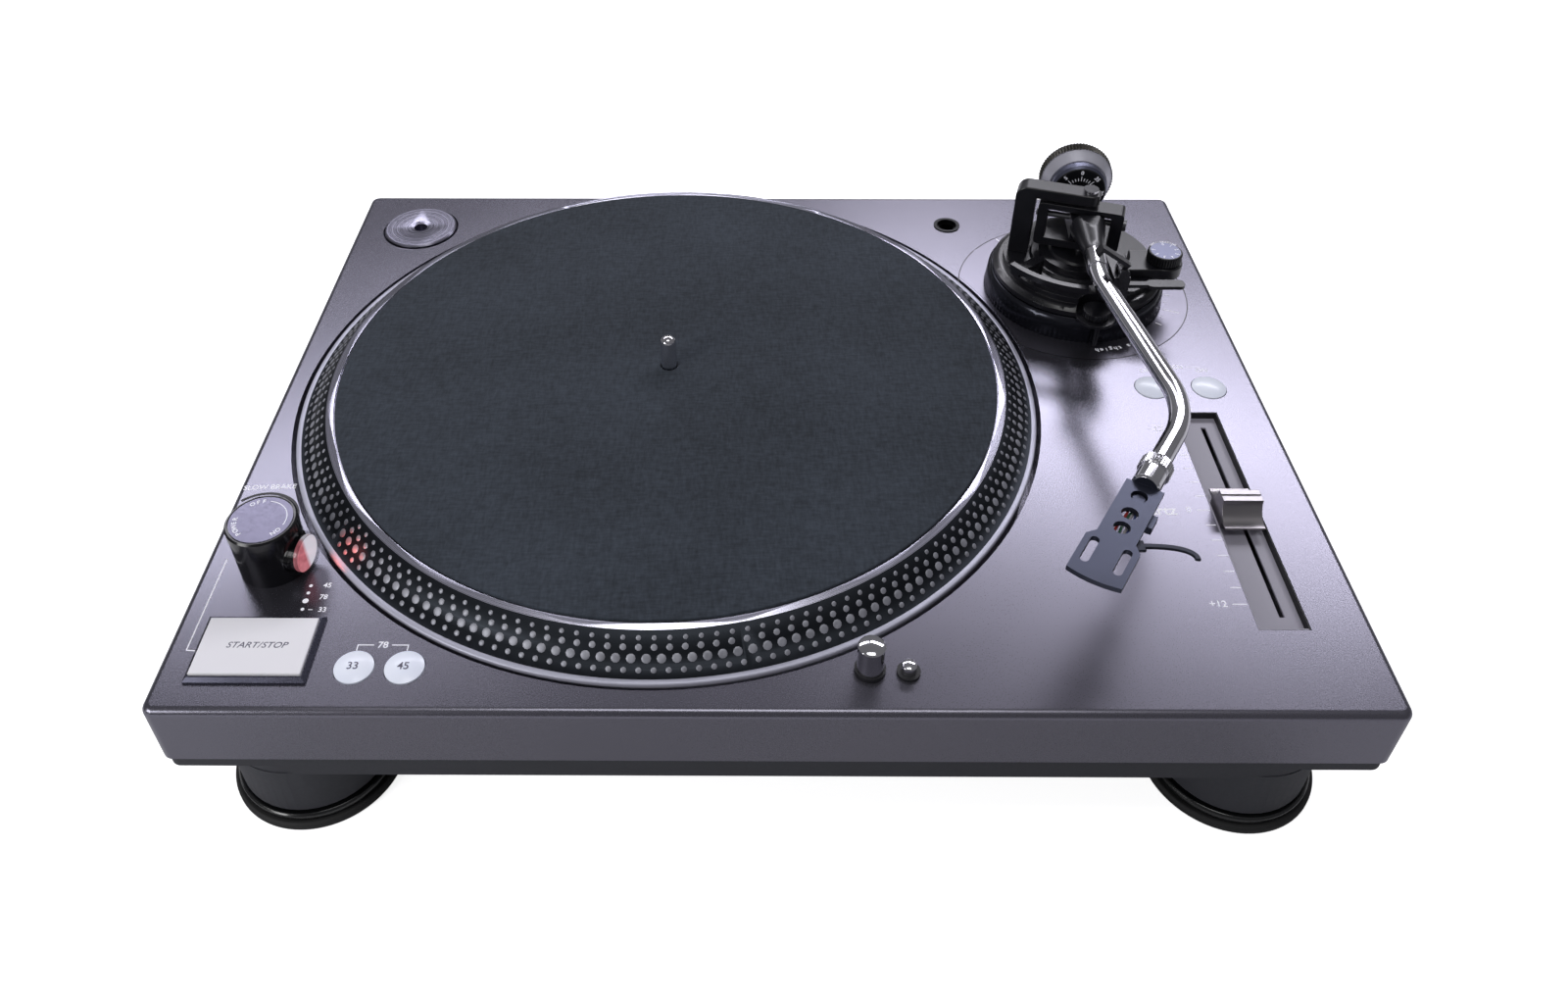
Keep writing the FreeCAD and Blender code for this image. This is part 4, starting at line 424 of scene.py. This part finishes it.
# %% Finishes on the solids
for node, piece in cad.items():
    piece.data.materials.clear()
    piece.data.materials.append(finishes[slots[node]].material)
print("finishes:", len(finishes))

# %% [markdown]
# ## Dressing a CAD solid
# A CAD mesh arrives as loose triangles with hard corners. A real moulding or pressing has a small
# radius on every edge, and that radius is what catches the light. A copy is merged, its flat
# faces are joined, and a Bevel modifier rounds what is sharp. A Weighted Normal modifier then
# keeps the flats flat right up to the rounding.

# %% Dressing helper
def own(piece, node_or_body):
    body = cad[node_or_body]["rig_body"] if node_or_body in cad else node_or_body
    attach(piece, body)
    return piece


def add_piece(name, mesh, finish, smooth=35.0):
    mesh.materials.clear()
    mesh.materials.append(finish.material)
    mesh.shade_smooth()
    mesh.set_sharp_from_angle(angle=math.radians(smooth))
    piece = bpy.data.objects.new(name, mesh)
    bpy.context.scene.collection.objects.link(piece)
    return piece


WELD, FLAT_ANGLE, CORNER_ANGLE = 2e-6, math.radians(0.4), math.radians(40)


def dress(node, edge=0.0, rounds=2):
    work = bmesh.new()
    work.from_mesh(cad[node].data)
    bmesh.ops.remove_doubles(work, verts=work.verts, dist=WELD)
    bmesh.ops.dissolve_limit(work, angle_limit=FLAT_ANGLE, verts=work.verts, edges=work.edges,
                             use_dissolve_boundaries=False, delimit=set())
    mesh = bpy.data.meshes.new("dressed_" + node)
    work.to_mesh(mesh)
    work.free()
    piece = add_piece("dressed_" + node, mesh, finishes[slots[node]])
    if edge:
        rounding = piece.modifiers.new("rounded edges", "BEVEL")
        rounding.width = edge * MM
        rounding.segments = rounds
        rounding.limit_method = "ANGLE"
        rounding.angle_limit = CORNER_ANGLE
        even = piece.modifiers.new("even shading", "WEIGHTED_NORMAL")
        even.mode, even.weight, even.keep_sharp = "FACE_AREA", 100, True
    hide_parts(node)
    return own(piece, node)


FEET = [end + "_" + side for end in ("front", "rear") for side in ("left", "right")]
for node in ["platter", "spindle", "arm_tube", "power_knob", "adaptor_45", "headshell_socket",
             "target_lamp", "lamp_bush", "release_button", "pivot_screws", "scale_disc",
             "speed_button_33", "speed_button_45", "pitch_button_off", "pitch_button_on", "arm_sleeve"]:
    dress(node)
for node in ["top_cabinet", "base_cover", "arm_base", "counterweight", "weight_dial", "arm_block",
             "tilt_pins", "strobe_tower", "start_stop_bezel", "cue_rail", "fader_trough"]:
    dress(node, edge=0.25)
for node in ["gimbal_yoke", "gimbal_ring", "arm_rest", "arm_clip", "antiskate_housing", "cue_lever"]:
    dress(node, edge=0.6, rounds=3)
for node in ["height_ring", "locking_collar", "antiskate_dial", "height_lock", "fader_knob",
             "start_stop_button", "headshell"]:
    dress(node, edge=0.18)
for place in FEET:
    dress("foot_" + place, edge=0.4)
    dress("pad_" + place, edge=0.3)

# %% [markdown]
# ## Slipmat
# The mat is a cut disc of felt about two millimetres thick. Its edge is soft and slightly
# fuzzy where the die cut it, and the disc lies flat on the platter.

# %% Slipmat disc
MAT_R, MAT_LOW, MAT_HIGH, MAT_HOLE_R, MAT_EDGE = 147.3, 11.3, 13.1, 4.0, 0.55
work = bmesh.new()
bmesh.ops.create_circle(work, cap_ends=False, segments=192, radius=MAT_R * MM)
grown = bmesh.ops.extrude_edge_only(work, edges=work.edges[:])
inner = [item for item in grown["geom"] if isinstance(item, bmesh.types.BMVert)]
bmesh.ops.scale(work, vec=(MAT_HOLE_R / MAT_R, MAT_HOLE_R / MAT_R, 1), verts=inner)
spokes = [edge for edge in work.edges if edge.calc_length() > (MAT_R - MAT_HOLE_R) / 2 * MM]
bmesh.ops.subdivide_edges(work, edges=spokes, cuts=5)
bmesh.ops.solidify(work, geom=work.faces[:], thickness=(MAT_HIGH - MAT_LOW) * MM)
low = min(v.co.z for v in work.verts)
bmesh.ops.translate(work, vec=mm(*SPINDLE, MAT_LOW) - Vector((0, 0, low)), verts=work.verts)
bmesh.ops.recalc_face_normals(work, faces=work.faces)
mesh = bpy.data.meshes.new("felt_slipmat")
work.to_mesh(mesh)
work.free()
slipmat = add_piece("felt_slipmat", mesh, felt)
soft = slipmat.modifiers.new("soft edge", "BEVEL")
soft.width = MAT_EDGE * MM
soft.segments = 3
soft.limit_method = "ANGLE"
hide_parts("slipmat")
own(slipmat, "slipmat")
print("slipmat faces:", len(mesh.polygons))

# %% [markdown]
# ## Finger lift
# The lift is a thin blade, punched from sheet and bent to a hook that a fingertip can raise. A
# straight bar, cut into short lengths and bent along one curve, keeps its width all the way.

# %% Finger lift
LIFT_Z, LIFT_WIDE, LIFT_THICK, LIFT_STEPS = 40.2, 2.0, 1.2, 28
LIFT_CURVE = [mm(x, y, LIFT_Z)
              for x, y in ((128.5, -129.9), (137.5, -129.6), (148.6, -130.6), (147.8, -136.4))]
TAB_AT, TAB_SIZE = (127.2, -129.9, LIFT_Z), (7.0, 5.0, 1.18)


def along_lift(part):
    a, b, c, d = LIFT_CURVE
    rest = 1.0 - part
    place = a * rest ** 3 + b * (3 * rest ** 2 * part) + c * (3 * rest * part ** 2) + d * part ** 3
    way = (b - a) * rest ** 2 + (c - b) * (2 * rest * part) + (d - c) * part ** 2
    return place, way.normalized()


blade = bmesh.new()
bmesh.ops.create_cube(blade, size=1.0)
lengthwise = [e for e in blade.edges if abs(e.verts[0].co.x - e.verts[1].co.x) > 0.5]
bmesh.ops.subdivide_edges(blade, edges=lengthwise, cuts=LIFT_STEPS, use_grid_fill=True)
for vertex in blade.verts:
    across, up = vertex.co.y * LIFT_WIDE * MM, vertex.co.z * LIFT_THICK * MM
    place, way = along_lift(vertex.co.x + 0.5)
    vertex.co = place + Vector((-way.y, way.x, 0.0)) * across + Vector((0.0, 0.0, up))
_, way = along_lift(0.0)
tab_turn = Matrix.Rotation(math.atan2(way.y, way.x), 4, "Z")
tab_size = Matrix.Diagonal([side * MM for side in TAB_SIZE] + [1.0])
bmesh.ops.create_cube(blade, size=1.0, matrix=Matrix.Translation(mm(*TAB_AT)) @ tab_turn @ tab_size)
bmesh.ops.recalc_face_normals(blade, faces=blade.faces)
mesh = bpy.data.meshes.new("finger_blade")
blade.to_mesh(mesh)
blade.free()
lift_finish = grained("finger lift lacquer", srgb(36, 37, 45), srgb(44, 46, 55), 0.34, metal=0.8)
finger_blade = add_piece("finger_blade", mesh, lift_finish, 40)
rounding = finger_blade.modifiers.new("rounded edges", "BEVEL")
rounding.width, rounding.segments, rounding.limit_method = 0.3 * MM, 3, "ANGLE"
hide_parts("finger_lift")
own(finger_blade, "finger_lift")
print("finger lift faces:", len(mesh.polygons))

# %% [markdown]
# ## Strobe dots
# Four rows of raised, polished dots run round the sloping band. Each row has its own count,
# so that under a flickering lamp one row seems to stand still at one pitch. One low dome is
# made with a few dozen faces and spun into place for each row.

# %% Strobe dots
BAND_LOW, BAND_HIGH = (163.6, 0.4), (BAND_IN_R, 12.5)
DOT_ROWS = ((153.04, 170, 1.9), (155.46, 174, 2.5), (158.32, 180, 3.5), (161.29, 186, 2.2))
DOT_HIGH = 0.22
SLOPE = math.atan2(BAND_HIGH[1] - BAND_LOW[1], BAND_LOW[0] - BAND_HIGH[0])


def band_point(reach):
    share = (BAND_LOW[0] - reach) / (BAND_LOW[0] - BAND_HIGH[0])
    return reach, BAND_LOW[1] + share * (BAND_HIGH[1] - BAND_LOW[1])


dot_finish = grained("polished strobe dots", srgb(150, 151, 160), srgb(176, 177, 186), 0.5, metal=0.5,
                     patch=300, depth=0.000004)
work = bmesh.new()
for reach, count, width in DOT_ROWS:
    dome = bmesh.ops.create_uvsphere(work, u_segments=10, v_segments=6, radius=1.0)["verts"]
    bmesh.ops.delete(work, geom=[v for v in dome if v.co.z < -0.1], context="VERTS")
    dome = [v for v in dome if v.is_valid]
    spot_r, spot_z = band_point(reach)
    place = (Matrix.Translation(mm(SPINDLE[0] + spot_r, SPINDLE[1], spot_z))
             @ Matrix.Rotation(SLOPE, 4, "Y")
             @ Matrix.Diagonal((width / 2 * MM, width / 2 * MM, DOT_HIGH * MM, 1)))
    bmesh.ops.transform(work, matrix=place, verts=dome)
    dome_edges = {edge for vertex in dome for edge in vertex.link_edges}
    dome_faces = {face for vertex in dome for face in vertex.link_faces}
    shape = dome + list(dome_edges) + list(dome_faces)
    bmesh.ops.spin(work, geom=shape, cent=mm(*SPINDLE, 0), axis=(0, 0, 1),
                   angle=2 * math.pi * (count - 1) / count, steps=count - 1, use_duplicate=True)
mesh = bpy.data.meshes.new("strobe_dots")
work.to_mesh(mesh)
work.free()
own(add_piece("strobe_dots", mesh, dot_finish, 80), "platter")
print("strobe dot faces:", len(mesh.polygons))

# %% [markdown]
# ## Print and lettering
# Screen print is a skin of ink a few hundredths of a millimetre thick. Text objects give the
# letters, thin boxes the rules and ticks, and each group is joined into one mesh with its
# place applied, so it moves with the piece it is printed on. A text or a curve becomes a mesh
# on a passing object, which is then removed.

# %% Ink helpers
INK_T = 0.04


def turned_by(degrees):
    return Matrix.Rotation(math.radians(degrees), 4, "Z")


def shape_of(data):
    holder = bpy.data.objects.new(data.name, data)
    bpy.context.scene.collection.objects.link(holder)
    bpy.context.view_layer.update()
    shaped = holder.evaluated_get(bpy.context.evaluated_depsgraph_get())
    mesh = bpy.data.meshes.new_from_object(shaped)
    bpy.data.objects.remove(holder)
    return mesh


class Print:
    def __init__(self, name):
        self.name = name
        self.work = bmesh.new()

    def letters(self, words, size, x, y, z=0.0, turn=0.0, slant=0.0, wide=1.0, bold=0.05, stand=None):
        curve = bpy.data.curves.new(words, "FONT")
        curve.body, curve.size, curve.shear = words, size * MM, slant
        curve.extrude = INK_T / 2 * MM
        curve.offset = bold * MM
        curve.align_x, curve.align_y = "CENTER", "CENTER"
        curve.resolution_u = 3
        mesh = shape_of(curve)
        bpy.data.curves.remove(curve)
        place = stand or Matrix.Translation(mm(x, y, z + INK_T / 2)) @ turned_by(turn)
        mesh.transform(place @ Matrix.Diagonal((wide, 1, 1, 1)))
        self.work.from_mesh(mesh)
        bpy.data.meshes.remove(mesh)

    def round_words(self, words, size, x, y, z, r, middle, step):
        for index, letter in enumerate(words):
            turn = middle - (index - (len(words) - 1) / 2) * step
            a = math.radians(turn)
            self.letters(letter, size, x + r * math.cos(a), y + r * math.sin(a), z, turn=turn - 90)

    def drape(self, height):
        for vertex in self.work.verts:
            vertex.co.z += height(vertex.co.x / MM, vertex.co.y / MM) * MM

    def bar(self, x0, x1, y0, y1, z=0.0, turn=0.0):
        place = (Matrix.Translation(mm((x0 + x1) / 2, (y0 + y1) / 2, z + INK_T / 2)) @ turned_by(turn)
                 @ Matrix.Diagonal((abs(x1 - x0) * MM, abs(y1 - y0) * MM, INK_T * MM, 1)))
        bmesh.ops.create_cube(self.work, size=1.0, matrix=place)

    def line(self, start, end, width, z=0.0):
        run = Vector(end) - Vector(start)
        middle = (Vector(start) + Vector(end)) / 2
        half = run.length / 2
        self.bar(middle.x - half, middle.x + half, middle.y - width / 2, middle.y + width / 2, z,
                 math.degrees(math.atan2(run.y, run.x)))

    def dot(self, x, y, r, z=0.0):
        bmesh.ops.create_cone(self.work, cap_ends=True, segments=24, radius1=r * MM, radius2=r * MM,
                              depth=INK_T * MM, matrix=Matrix.Translation(mm(x, y, z + INK_T / 2)))

    def arc(self, x, y, r, width, start, end, z=0.0, steps=48):
        a = math.radians(start)
        section = ((-width / 2, 0), (width / 2, 0), (width / 2, INK_T), (-width / 2, INK_T))
        corners = [self.work.verts.new(mm(x + (r + s) * math.cos(a), y + (r + s) * math.sin(a), z + t))
                   for s, t in section]
        face = self.work.faces.new(corners)
        bmesh.ops.spin(self.work, geom=[face] + face.verts[:] + face.edges[:], cent=mm(x, y, z),
                       axis=(0, 0, 1), angle=math.radians(end - start), steps=steps)

    def finish(self, finish, ride, slot):
        bmesh.ops.recalc_face_normals(self.work, faces=self.work.faces)
        mesh = bpy.data.meshes.new(self.name)
        self.work.to_mesh(mesh)
        self.work.free()
        print("print", self.name, len(mesh.polygons))
        return own(add_piece(self.name, mesh, finish, 30), ride)


INK = {"grain": 2000, "depth": 0.000004}
# The white ink is real print. Its emission is a painted glow that makes the print brighter than the lamps
# alone light it.
white_ink_painted_glow = grained("white screen print with painted glow", srgb(238, 238, 246), srgb(250, 250, 255), 0.5, **INK,
                    Emission_Color=(0.9, 0.9, 1.0, 1.0), Emission_Strength=0.22)
grey_ink = grained("grey screen print", srgb(96, 94, 110), srgb(110, 108, 124), 0.5, **INK)
black_ink = grained("black screen print", srgb(20, 20, 24), srgb(28, 28, 33), 0.4, **INK)

# %% Deck print
deck_print = Print("deck_print")
FIGURES, CAPTIONS, SMALL_FIGURES = 4.4, 3.6, 3.2
TICK_X0, TICK_X1, TICK_TOP, TICK_STEP, TICK_HALF = 173.9, 179.5, -23.05, 8.27, 0.22
for i in range(13):
    y = TICK_TOP - i * TICK_STEP
    long_tick = i % 6 == 0
    deck_print.bar(TICK_X0 if long_tick else TICK_X0 + 1.6, TICK_X1, y - TICK_HALF, y + TICK_HALF)
for words, x, y in (("−12", 169.6, -22.7), ("0", 170.8, -72.4), ("+12", 168.6, -122.2)):
    deck_print.letters(words, FIGURES, x, y)
deck_print.letters("quartz", 7.2, 156.4, -73.0, bold=0.16)
for words, x, y in (("OFF", 175.4, 18.0), ("PITCH", 188.2, 20.6), ("ON", 201.3, 18.2)):
    deck_print.letters(words, CAPTIONS, x, y)
for x0, x1 in ((175.1, 182.6), (194.4, 201.2)):
    deck_print.bar(x0, x1, 20.4, 20.7)
deck_print.letters("78", 4.0, -144.3, -142.9)
for x0, x1, y0 in ((-153.5, -147.6, -143.05), (-141.0, -134.9, -143.05),
                   (-153.7, -153.3, -145.4), (-135.1, -134.7, -145.4)):
    deck_print.bar(x0, x1, y0, -142.65)
deck_print.letters("SLOW BRAKE", CAPTIONS, -211.0, -60.9, turn=3)
for y, r in ((-114.6, 0.7), (-118.2, 0.7), (-122.1, 1.15), (-126.2, 0.7)):
    deck_print.dot(-178.8, y, r)
for words, x, y in (("78", -172.4, -120.2), ("33", -171.2, -126.4), ("45", -172.4, -114.4)):
    deck_print.letters(words, SMALL_FIGURES, x, y)
deck_print.bar(-176.6, -174.9, -126.5, -126.2)
deck_print.line((-215.7, -100.9), (-215.9, -145.5), 0.45)
deck_print.line((-215.9, -145.6), (-212.6, -145.8), 0.45)
deck_print.finish(white_ink_painted_glow, "top_cabinet", "deck_paint")

deck_rings = Print("deck_rings")
deck_rings.arc(-209.7, -79.8, 15.2, 1.4, 135.0, 12.0)
deck_rings.arc(*ARM_PIVOT, 56.9, 0.5, -218.0, 140.0, steps=120)
deck_rings.finish(black_ink, "top_cabinet", "deck_paint")

# %% Scale print round the arm
scale_print = Print("scale_print")
SCALE_TICKS = ((-6.0, 45.4, 48.6), (-22.0, 45.2, 53.4), (-38.0, 45.4, 48.6),
               (-30.0, 45.4, 46.6), (-14.0, 45.4, 46.6), (124.0, 51.0, 56.0))


def round_the_arm(r, angle):
    return ARM_PIVOT[0] + r * math.cos(angle), ARM_PIVOT[1] + r * math.sin(angle)


for turn, low, high in SCALE_TICKS:
    a = math.radians(turn)
    scale_print.line(round_the_arm(low, a), round_the_arm(high, a), 0.5)
scale_print.round_words("height adj", CAPTIONS, *ARM_PIVOT, 0.0, 49.8, -75.0, -2.7)
scale_print.finish(white_ink_painted_glow, "scale_disc", "scale_paint")

# %% Key lettering
key_print = Print("start_stop_lettering")
for word, x in (("START", -194.7), ("/", -188.3), ("STOP", -182.9)):
    key_print.letters(word, 3.7, x, -145.6, 3.2, slant=0.25, wide=1.05, bold=0.02)
key_print.finish(grey_ink, "start_stop_button", "white_plastic")
BUTTON_Y, BUTTON_R, CROWN_Z, CROWN = -153.0, 7.2, 1.91, 1.5
for word, button_x in (("33", -152.5), ("45", -134.2)):
    number = Print("number_" + word)
    number.letters(word, FIGURES, button_x, BUTTON_Y - 0.6)
    number.drape(lambda x, y: CROWN_Z
                 - CROWN * ((x - button_x) ** 2 + (y - BUTTON_Y) ** 2) / BUTTON_R ** 2)
    number.finish(grey_ink, "speed_button_" + word, "lilac_button")

# %% [markdown]
# ## Round dials
# Letters on a knob stand on a circle, each turned to face outwards, so a word is a row of small
# turns. The dial on the weight faces forwards along the arm, so its letters are stood upright.

# %% Dial lettering
KNOB_Z, KNOB_WORDS_R = 24.0, 9.7
knob_print = Print("power_lettering")
for words, middle in (("OFF", 112.0), ("ON", -40.0), ("POWER", 205.0)):
    knob_print.round_words(words, 2.6, *POWER_KNOB, KNOB_Z, KNOB_WORDS_R, middle, 13.0)
knob_print.arc(*POWER_KNOB, KNOB_WORDS_R, 0.35, 84.0, -16.0, KNOB_Z)
knob_print.finish(white_ink_painted_glow, "power_knob", "gloss_black")

SKATE_Z, SKATE_STEP = 30.0, 40.0
skate_print = Print("antiskate_lettering")
for i in range(8):
    middle = 90.0 - i * SKATE_STEP
    skate_print.round_words(str(i), 2.2, *SKATE_DIAL, SKATE_Z, 5.4, middle, 0.0)
    skate_print.arc(*SKATE_DIAL, 6.7, 0.3, middle + 2.0, middle - 2.0, SKATE_Z, steps=2)
skate_print.round_words("ANTI-SKATING", 1.6, *SKATE_DIAL, SKATE_Z, 7.6, 90.0, 9.0)
skate_print.finish(white_ink_painted_glow, "antiskate_dial", "dial_black")

WEIGHT_AXIS_Z, DIAL_FACE, DIAL_TICKS, DIAL_TICK_R, DIAL_WORDS_R = 42.0, 24.98, 32, 6.4, 10.9
dial_print = Print("weight_dial_lettering")
face = (Matrix.Translation(mm(*ARM_PIVOT, WEIGHT_AXIS_Z)) @ Matrix.Rotation(ARM_TURN, 4, "Z")
        @ Matrix.Translation((-DIAL_FACE * MM, 0, 0)) @ Matrix.Rotation(math.pi / 2, 4, "Y")
        @ Matrix.Rotation(math.pi / 2, 4, "Z"))
for i in range(DIAL_TICKS):
    spin = face @ Matrix.Rotation(2 * math.pi * i / DIAL_TICKS, 4, "Z")
    long = 2.6 if i % 4 == 0 else 1.6
    place = (spin @ Matrix.Translation((0, (DIAL_TICK_R + long / 2) * MM, 0))
             @ Matrix.Diagonal((0.3 * MM, long * MM, INK_T * MM, 1)))
    bmesh.ops.create_cube(dial_print.work, size=1.0, matrix=place)
    if i % 4 == 0:
        stand = spin @ Matrix.Translation((0, DIAL_WORDS_R * MM, 0))
        dial_print.letters(str(i // 4 * 5), 2.9, 0, 0, stand=stand)
dial_print.finish(white_ink_painted_glow, "weight_dial", "dial_black")

# %% [markdown]
# ## Headshell leads
# Four thin insulated leads run under the headshell's plate, from the plug to the cartridge pins.
# They show through the three round holes.

# %% Leads
def tube_along(name, points, r, finish, ride):
    curve = bpy.data.curves.new(name, "CURVE")
    curve.dimensions, curve.use_fill_caps = "3D", True
    curve.bevel_depth, curve.bevel_resolution = r * MM, 3
    path = curve.splines.new("NURBS")
    path.points.add(len(points) - 1)
    for knot, point in zip(path.points, points):
        knot.co = (*point, 1)
    path.use_endpoint_u, path.order_u, path.resolution_u = True, 3, 8
    return own(add_piece(name, shape_of(curve), finish, 60), ride)


PLUG, SHELL_TURN = (137.2, -102.0), math.radians(-122.6)
LEAD_FROM, LEAD_RUN, LEAD_SPANS, LEAD_Z, LEAD_R = 5.6, 26.4, 5, 39.6, 0.55
LEADS = (("lead_red", (196, 70, 66), -2.4, 0.0), ("lead_white", (206, 202, 204), 0.9, 0.5),
         ("lead_blue", (84, 96, 150), 2.4, 0.1), ("lead_green", (70, 120, 96), -0.8, 0.7))


def in_shell(s, v, z):
    c, d = math.cos(SHELL_TURN), math.sin(SHELL_TURN)
    return mm(PLUG[0] + s * c - v * d, PLUG[1] + s * d + v * c, z)


for name, colour, aside, drop in LEADS:
    darker = [int(c * 0.9) for c in colour]
    sleeve = grained("insulation " + name, srgb(*darker), srgb(*colour), 0.45, depth=0.000004)
    route = [in_shell(LEAD_FROM + LEAD_RUN * i / LEAD_SPANS,
                      aside * (0.55 + 0.1 * i) + 0.5 * math.sin(2.2 * i + aside), LEAD_Z - drop)
             for i in range(LEAD_SPANS + 1)]
    tube_along(name, route, LEAD_R, sleeve, "headshell")
print("leads made:", len(LEADS))

# %% [markdown]
# ## Camera
# The camera was solved from the photograph: its place, its tilt and its lens. The picture was
# cropped off centre, so the lens is shifted instead of turned.

# %% Camera
IMAGE_W, IMAGE_H, FOCAL, AXIS_X, AXIS_Y = 1600, 1020, 1257.82, 763.93, 381.55  # in pixels
CAMERA_AT = (-8.175, -429.459, 365.024)
CAMERA_SWING, CAMERA_DIP, CAMERA_ROLL = 0.0052665, 0.6878736, -0.000744
lens = bpy.data.cameras.new("portrait camera")
lens.sensor_width = 36.0
lens.lens = FOCAL / IMAGE_W * lens.sensor_width
lens.shift_x = (IMAGE_W / 2 - AXIS_X) / IMAGE_W
lens.shift_y = -(IMAGE_H / 2 - AXIS_Y) / IMAGE_W
lens.clip_start = 0.01
camera = bpy.data.objects.new("portrait camera", lens)
bpy.context.scene.collection.objects.link(camera)
camera.matrix_world = (Matrix.Translation(mm(*CAMERA_AT)) @ Matrix.Rotation(CAMERA_SWING, 4, "Z")
                       @ Matrix.Rotation(math.pi / 2 - CAMERA_DIP, 4, "X")
                       @ Matrix.Rotation(CAMERA_ROLL, 4, "Z"))
bpy.context.scene.camera = camera
print("lens", round(lens.lens, 2), "mm")

# %% [markdown]
# ## Floor, backdrop and lamps
# A pale floor stands under four soft boxes, two of them tinted like daylight. To the camera alone
# the floor glows and the world is white, so both stay pale while the object keeps its dark
# reflections. A small red spot in the tower lights the edge of the platter.

# %% Floor and light
floor_finish = Finish("studio floor", Roughness=0.9, Specular_IOR_Level=0.0)
floor_finish.set(Base_Color=srgb(232, 232, 234))
path = floor_finish.node("ShaderNodeLightPath")
seen = Signal(floor_finish, path.socket.node.outputs["Is Camera Ray"])
floor_finish.set(Emission_Color=(1, 1, 1, 1), Emission_Strength=seen * 0.85)
work = bmesh.new()
bmesh.ops.create_grid(work, x_segments=1, y_segments=1, size=6.0)
mesh = bpy.data.meshes.new("studio_floor")
work.to_mesh(mesh)
work.free()
floor = add_piece("studio_floor", mesh, floor_finish)
floor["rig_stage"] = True


def hang(lamp, place, way):
    holder = bpy.data.objects.new(lamp.name, lamp)
    bpy.context.scene.collection.objects.link(holder)
    aim = way.to_track_quat("-Z", "Y").to_matrix().to_4x4()
    holder.matrix_world = Matrix.Translation(place) @ aim


def softbox(name, place, target, width, depth, power, tint=(1, 1, 1)):
    lamp = bpy.data.lights.new(name, "AREA")
    lamp.shape, lamp.size, lamp.size_y = "RECTANGLE", width, depth
    lamp.energy, lamp.color = power, tint
    hang(lamp, place, Vector(target) - Vector(place))


DAYLIGHT = (0.93, 0.92, 1.0)
softbox("left window behind", (-0.62, 1.25, 1.27), (-0.1, 0.0, 0.07), 1.2, 0.26, 6.2, DAYLIGHT)
softbox("right window behind", (0.66, 1.25, 1.20), (0.1, 0.0, 0.07), 1.2, 0.28, 11, DAYLIGHT)
softbox("low front left", (-0.7, -0.6, 0.42), (-0.22, -0.17, 0.04), 0.4, 0.3, 2.6)
softbox("high overhead", (0.0, -0.35, 1.6), (0.0, 0.0, 0.07), 0.8, 0.5, 5)
STROBE_Z, STROBE_WAY = 9.4, Vector((0.0126, 0.0085, -0.0072))
strobe = bpy.data.lights.new("strobe lamp", "SPOT")
strobe.energy, strobe.color = 0.014, (1.0, 0.12, 0.08)
strobe.shadow_soft_size, strobe.spot_size = 0.003, math.radians(60)
hang(strobe, mm(*STROBE_WINDOW, STROBE_Z), STROBE_WAY)
world = bpy.data.worlds.new("studio")
bpy.context.scene.world = world
world.use_nodes = True
nodes, join = world.node_tree.nodes, world.node_tree.links.new
fill = nodes["Background"]
fill.inputs["Color"].default_value = (0.9, 0.9, 0.95, 1)
fill.inputs["Strength"].default_value = 0.18
paper, choice = nodes.new("ShaderNodeBackground"), nodes.new("ShaderNodeMixShader")
paper.inputs["Color"].default_value = (1, 1, 1, 1)
join(nodes.new("ShaderNodeLightPath").outputs["Is Camera Ray"], choice.inputs[0])
join(fill.outputs[0], choice.inputs[1])
join(paper.outputs[0], choice.inputs[2])
join(choice.outputs[0], nodes["World Output"].inputs[0])
bpy.context.scene.view_settings.view_transform = "Standard"
print("lamps:", len(bpy.data.lights))

# %% The box of the finished look
look_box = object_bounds()
for title, box in (("CAD box", cad_box), ("look box", look_box)):
    print(title, [round(v, 4) for corner in box for v in corner])
